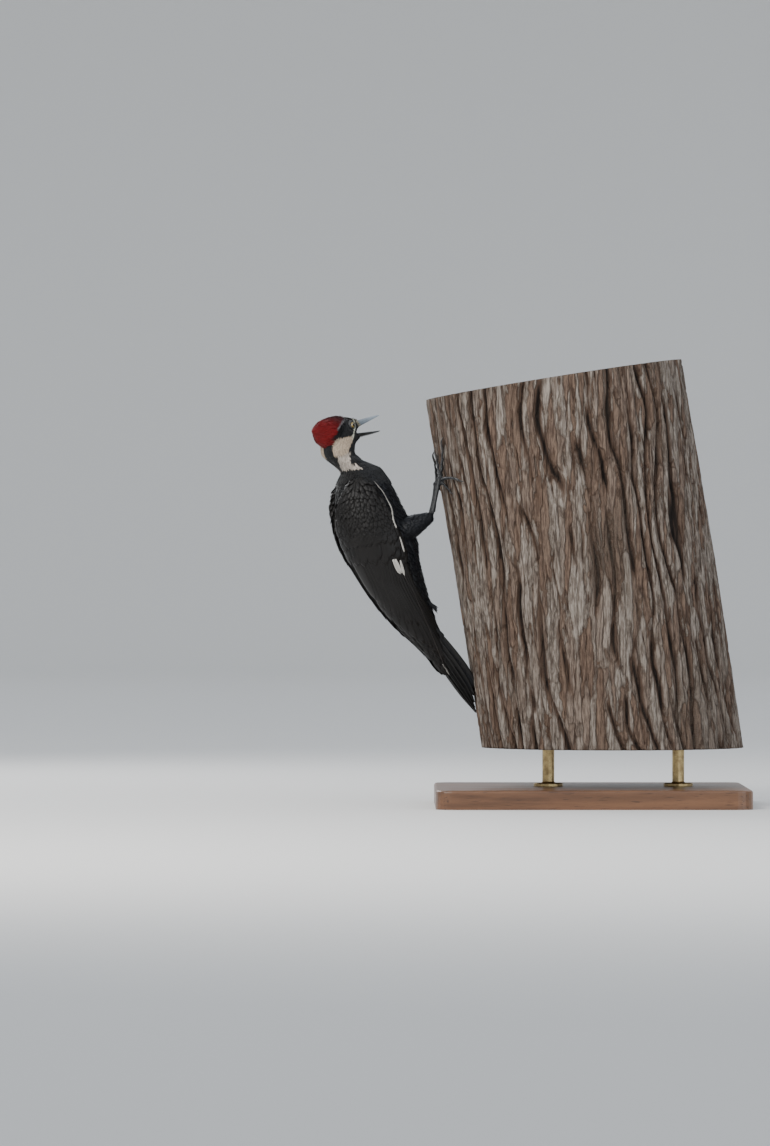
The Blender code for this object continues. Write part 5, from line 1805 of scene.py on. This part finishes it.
rims = [[], []]
for edge in bark.edges:
    if edge.is_boundary:
        rims[0 if edge.verts[0].co.z < LOG_TOP / 2 else 1].append(edge)
for ring in rims:
    last = 1.0
    for inset in END_STEPS:
        made = bmesh.ops.extrude_edge_only(bark, edges=ring)["geom"]
        verts = [g for g in made if isinstance(g, bmesh.types.BMVert)]
        ring = [g for g in made if isinstance(g, bmesh.types.BMEdge)]
        centre = sum((v.co for v in verts), Vector()) / len(verts)
        for vert in verts:
            vert.co = centre + (vert.co - centre) * (inset / last)
        last = inset
    bmesh.ops.holes_fill(bark, edges=ring, sides=0)
bmesh.ops.recalc_face_normals(bark, faces=bark.faces[:])
if bark.calc_volume(signed=True) < 0:
    bmesh.ops.reverse_faces(bark, faces=bark.faces[:])
axis = LOG_AXIS.normalized()
for face in bark.faces:
    from_foot = face.calc_center_median() - LOG_FOOT
    aside = from_foot - axis * from_foot.dot(axis)
    face.material_index = int(abs(face.normal.dot(axis)) > END_FACING and aside.length < END_RADIUS)
print("with its ends:", len(bark.faces), "faces")

# %% [markdown]
# Weathered bark is pale grey on its ridges and reddish brown in its depths, and the furrows' bottoms are
# darkened to near black as painted shade. It has darker stains and a little grey-green bloom. The sawn ends
# show growth rings round the heart, and drying cracks.

# %% Bark and end-grain materials
BARK, bench = new_material("bark", Roughness=0.92, Specular_IOR_Level=0.2)
relief_in, space = bench.kept("Relief"), bench.space()


def long_noise(across_scale, along_scale, detail, roughness):
    """Noise drawn out along the leaning trunk."""
    vector = bench.scaled(space, (across_scale, across_scale, along_scale), (0, LOG_LEAN, 0))
    return bench.noise(vector, 1.0, detail, roughness)


fibres = long_noise(520, 60, 6.0, 0.65)
strips = long_noise(150, 16, 4.0, 0.6)
long_cells = bench.scaled(space, (125, 125, 11), (0, LOG_LEAN, 0))
shake = bench.put("ShaderNodeTexNoise", i0=space, Scale=60.0, Detail=3.0).outputs["Color"]
added = {"operation": "MULTIPLY_ADD"}
shaken = bench.put("ShaderNodeVectorMath", added, i0=shake, i1=(0.8, 0.8, 0.7), i2=long_cells).outputs[0]
flakes = bench.put("ShaderNodeTexVoronoi", i0=shaken, Scale=1.0)
flake_tone = bench.put("ShaderNodeSeparateColor", i0=flakes.outputs["Color"]).outputs[0]
seams = bench.put("ShaderNodeTexVoronoi", {"feature": "DISTANCE_TO_EDGE"}, i0=shaken, Scale=1.0)
seam = bench.range(seams.outputs["Distance"], 0.0, 0.12)
stains = bench.noise(bench.scaled(space, (11, 11, 5)), 1.0, 4.0, 0.55)
grit = bench.noise(space, 700.0, 4.0, 0.7)
mixed = bench.sum("MULTIPLY_ADD", bench.sum("SUBTRACT", strips, 0.5), 0.9, relief_in)
# painted shade: towards the furrows' bottoms the colour goes to near black, beneath the reddish brown of the
# inner bark
deep = bench.mix(bench.range(mixed, 0.05, 0.55), (0.013, 0.009, 0.007, 1), (0.085, 0.053, 0.037, 1))
weathered = bench.mix(bench.range(fibres, 0.36, 0.66), (0.105, 0.082, 0.066, 1), (0.300, 0.262, 0.225, 1))
ruddy = bench.mix(bench.range(fibres, 0.36, 0.66), (0.066, 0.042, 0.031, 1), (0.180, 0.124, 0.090, 1))
flaked = bench.mix(bench.range(flake_tone, 0.15, 0.70), ruddy, weathered)
tone = bench.mix(bench.range(mixed, 0.38, 0.78), deep, flaked)
tone = bench.mix(bench.range(stains, 0.50, 0.72, 0.0, 0.55), tone, (0.075, 0.050, 0.038, 1))
bloom = bench.range(bench.sum("MULTIPLY", grit, stains), 0.28, 0.42, 0.0, 0.14)
tone = bench.mix(bloom, tone, (0.22, 0.23, 0.18, 1))
tone = bench.mix(seam, bench.mix(1.0, tone, (0.60, 0.57, 0.55, 1), "MULTIPLY"), tone)
rough = bench.sum("MULTIPLY_ADD", fibres, 0.55, bench.sum("MULTIPLY", seam, 0.5))
rough = bench.sum("MULTIPLY_ADD", flake_tone, 0.35, rough)
rough = bench.sum("MULTIPLY_ADD", grit, 0.25, rough)
bench.finish(tone, rough, 0.9, 0.0030)

# the rings, pores and cracks of the ends go round the middle of the upper one
END_GRAIN, bench = new_material("end_grain", Roughness=0.75, Specular_IOR_Level=0.3)
top = LOG_FOOT + LOG_AXIS * LOG_TOP
upright = bench.scaled(bench.space(), (1, 1, 1), (0, 0, 0), (-top.x, -top.y, 0))
wobble = bench.noise(upright, 9.0, 3.0)
flat = bench.put("ShaderNodeSeparateXYZ", i0=upright)
squares = (bench.sum("POWER", flat.outputs[k], 2.0) for k in (0, 1))
from_heart = bench.sum("POWER", bench.sum("ADD", *squares), 0.5)
rings = bench.sum("MULTIPLY_ADD", wobble, 0.030, from_heart)
years = bench.noise(bench.put("ShaderNodeCombineXYZ", i0=rings).outputs[0], 60.0, 2.0)
ring_wave = bench.sum("FRACT", bench.sum("MULTIPLY_ADD", rings, 240.0, bench.sum("MULTIPLY", years, 6.0)))
pores = bench.noise(upright, 1300.0, 3.0)
early = bench.mix(bench.range(ring_wave, 0.0, 0.85), (0.44, 0.32, 0.20, 1), (0.29, 0.185, 0.10, 1))
heart = bench.mix(bench.range(rings, 0.055, 0.075), (0.80, 0.74, 0.69, 1), (1, 1, 1, 1))
wood = bench.mix(1.0, early, heart, "MULTIPLY")
wood = bench.mix(bench.range(pores, 0.55, 0.75, 0.0, 0.45), wood, (0.16, 0.1, 0.06, 1))
bearing_in = bench.sum("MULTIPLY", bench.sum("ARCTAN2", flat.outputs[1], flat.outputs[0]), 7 / (2 * math.pi))
ray = bench.sum("FRACT", bench.sum("MULTIPLY_ADD", bench.noise(upright, 14.0, 4.0), 0.55, bearing_in))
off_ray = bench.sum("ABSOLUTE", bench.sum("SUBTRACT", ray, 0.5))
crack = bench.range(bench.sum("MULTIPLY", off_ray, from_heart), 0.0, 0.0007, 1.0, 0.0)
split = bench.sum("MULTIPLY", crack, bench.range(years, 0.40, 0.55))
wood = bench.mix(bench.sum("MULTIPLY", split, 0.85), wood, (0.035, 0.022, 0.014, 1))
bench.finish(wood, pores, 0.25, 0.0004)

trunk_bark = object_from("trunk_bark", bark, BARK, END_GRAIN)
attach(trunk_bark, "root")
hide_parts("perch_log")
print("trunk finished")

# %% [markdown]
# ## The stand
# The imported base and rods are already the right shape, so they keep their solids and get better finishes:
# waxed, stained hardwood with its grain along the base, and brass that was brushed round and has aged.

# %% Stained wood and brushed brass
STAND_WOOD, bench = new_material(
    "stained_wood", Roughness=0.38, Specular_IOR_Level=0.5, Coat_Weight=0.25, Coat_Roughness=0.25
)
space = bench.space()
grain = bench.noise(bench.scaled(space, (7, 95, 95)), 1.0, 6.0, 0.6)
figure = bench.noise(bench.scaled(space, (3, 26, 26)), 1.0, 4.0, 0.5)
pores = bench.noise(bench.scaled(space, (55, 800, 800)), 1.0, 2.0, 0.5)
tone = bench.mix(bench.range(grain, 0.3, 0.7), (0.050, 0.020, 0.009, 1), (0.160, 0.070, 0.030, 1))
tone = bench.mix(bench.range(figure, 0.35, 0.7, 0.0, 0.5), tone, (0.205, 0.098, 0.045, 1))
tone = bench.mix(bench.range(pores, 0.58, 0.7, 0.0, 0.7), tone, (0.025, 0.011, 0.006, 1))
bench.finish(tone, pores, 0.15, 0.0003, bench.range(grain, 0.2, 0.8, 0.30, 0.48))

BRASS, bench = new_material("brushed_brass", Metallic=1.0, Roughness=0.3)
space = bench.space()
brushed = bench.noise(bench.scaled(space, (60, 60, 5200)), 1.0, 3.0, 0.6)
aged = bench.noise(space, 130.0, 4.0)
tone = bench.mix(bench.range(aged, 0.35, 0.7), (0.52, 0.40, 0.20, 1), (0.30, 0.22, 0.11, 1))
bench.finish(tone, brushed, 0.12, 0.0002, bench.range(brushed, 0.2, 0.8, 0.22, 0.42))

for name, finish in (("stand_base", STAND_WOOD), ("stand_rod_1", BRASS), ("stand_rod_2", BRASS)):
    NODES[name].data.materials.clear()
    NODES[name].data.materials.append(finish)
print("stand finished")

# %% [markdown]
# ## Studio
# The floor is a wide, pale, round tray. Its rim curves up into a plain wall all the way round, so no line
# crosses the view from any side. A pale, slightly blue sky lights everything evenly.

# %% Floor and sky
FLOOR_RADIUS, COVE, WALL_TOP = 10.5, 2.0, 5.5
sweep = bmesh.new()
rail = [(0.0, 0.0), (0.7, 0.0), (2.0, 0.0), (5.0, 0.0), (FLOOR_RADIUS, 0.0)]
for k in range(1, 13):
    turn = math.pi / 2 * k / 12
    rail.append((FLOOR_RADIUS + COVE * math.sin(turn), COVE * (1 - math.cos(turn))))
rail.append((FLOOR_RADIUS + COVE, WALL_TOP))
rail = [sweep.verts.new((x, 0.0, z)) for x, z in rail]
edges = [sweep.edges.new(pair) for pair in zip(rail, rail[1:])]
whole_turn = {"cent": (0, 0, 0), "axis": (0, 0, 1), "angle": 2 * math.pi, "steps": 72, "use_merge": True}
bmesh.ops.spin(sweep, geom=rail + edges, **whole_turn)
bmesh.ops.remove_doubles(sweep, verts=sweep.verts[:], dist=1e-5)
bmesh.ops.recalc_face_normals(sweep, faces=sweep.faces[:])
if max(sweep.faces, key=lambda face: abs(face.normal.z)).normal.z < 0:
    bmesh.ops.reverse_faces(sweep, faces=sweep.faces[:])
floor_paint, _ = new_material("floor_paint", Base_Color=(0.72, 0.71, 0.69, 1), Roughness=0.9)
floor = object_from("floor", sweep, floor_paint)
floor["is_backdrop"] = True

world = bpy.data.worlds.new("studio")
bpy.context.scene.world = world
world.use_nodes = True
sky = world.node_tree.nodes["Background"]
sky.inputs["Color"].default_value = (0.86, 0.92, 1.0, 1)
sky.inputs["Strength"].default_value = 1.0
print("floor and sky made")

# %% [markdown]
# The key lamp is large and near, in front of the bird and above it. The fill lights the shadows softly from
# the other side, and the rim lamp stands behind. The camera is far away with a long lens, as a birdwatcher's
# is, so nothing looks stretched.


# %% Lamps and camera
def lamp(name, at, towards, size, power, tint=(1, 1, 1)):
    """A soft square lamp that faces a point."""
    light = bpy.data.lights.new(name, "AREA")
    light.size, light.energy, light.color = size, power, tint
    made = bpy.data.objects.new(name, light)
    bpy.context.scene.collection.objects.link(made)
    aim = Vector(towards) - Vector(at)
    made.matrix_world = Matrix.Translation(at) @ aim.to_track_quat("-Z", "Y").to_matrix().to_4x4()
    return made


BIRD_MIDDLE = (-0.2, 0.0, 0.3)
VIEWER_AT = (-0.2376, -8.033, 0.2683)
lamp("key", (-1.3, -1.8, 1.7), BIRD_MIDDLE, 1.2, 55, (1.0, 0.97, 0.93))
lamp("fill", (1.6, -2.2, 0.8), BIRD_MIDDLE, 1.6, 22, (0.92, 0.96, 1.0))
lamp("rim", (-1.2, 1.3, 1.2), BIRD_MIDDLE, 1.0, 18)

viewer = bpy.data.cameras.new("viewer")
viewer.lens = 218.5
viewer.sensor_width = 36.0
viewer.clip_start, viewer.clip_end = 0.1, 40.0
camera = bpy.data.objects.new("viewer", viewer)
camera.matrix_world = Matrix.Translation(VIEWER_AT) @ Matrix.Rotation(math.pi / 2, 4, "X")
bpy.context.scene.collection.objects.link(camera)
bpy.context.scene.camera = camera
print("three lamps, and a camera", round((Vector(BIRD_MIDDLE) - Vector(VIEWER_AT)).length, 2), "m away")

# %% [markdown]
# ## Last measure
# The box that the finished model fills is measured and printed beside the imported one's; a few feather tips
# may stand past it. The finished model has to fit the box that the imported one fills, apart from a few
# feather tips.

# %% Measure
LOOKS_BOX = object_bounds()
sizes = {"cad": [list(map(float, p)) for p in CAD_BOX], "looks": [list(map(float, p)) for p in LOOKS_BOX]}
print("packed", [round(x, 4) for p in CAD_BOX for x in p])
print("looks ", [round(x, 4) for p in LOOKS_BOX for x in p])
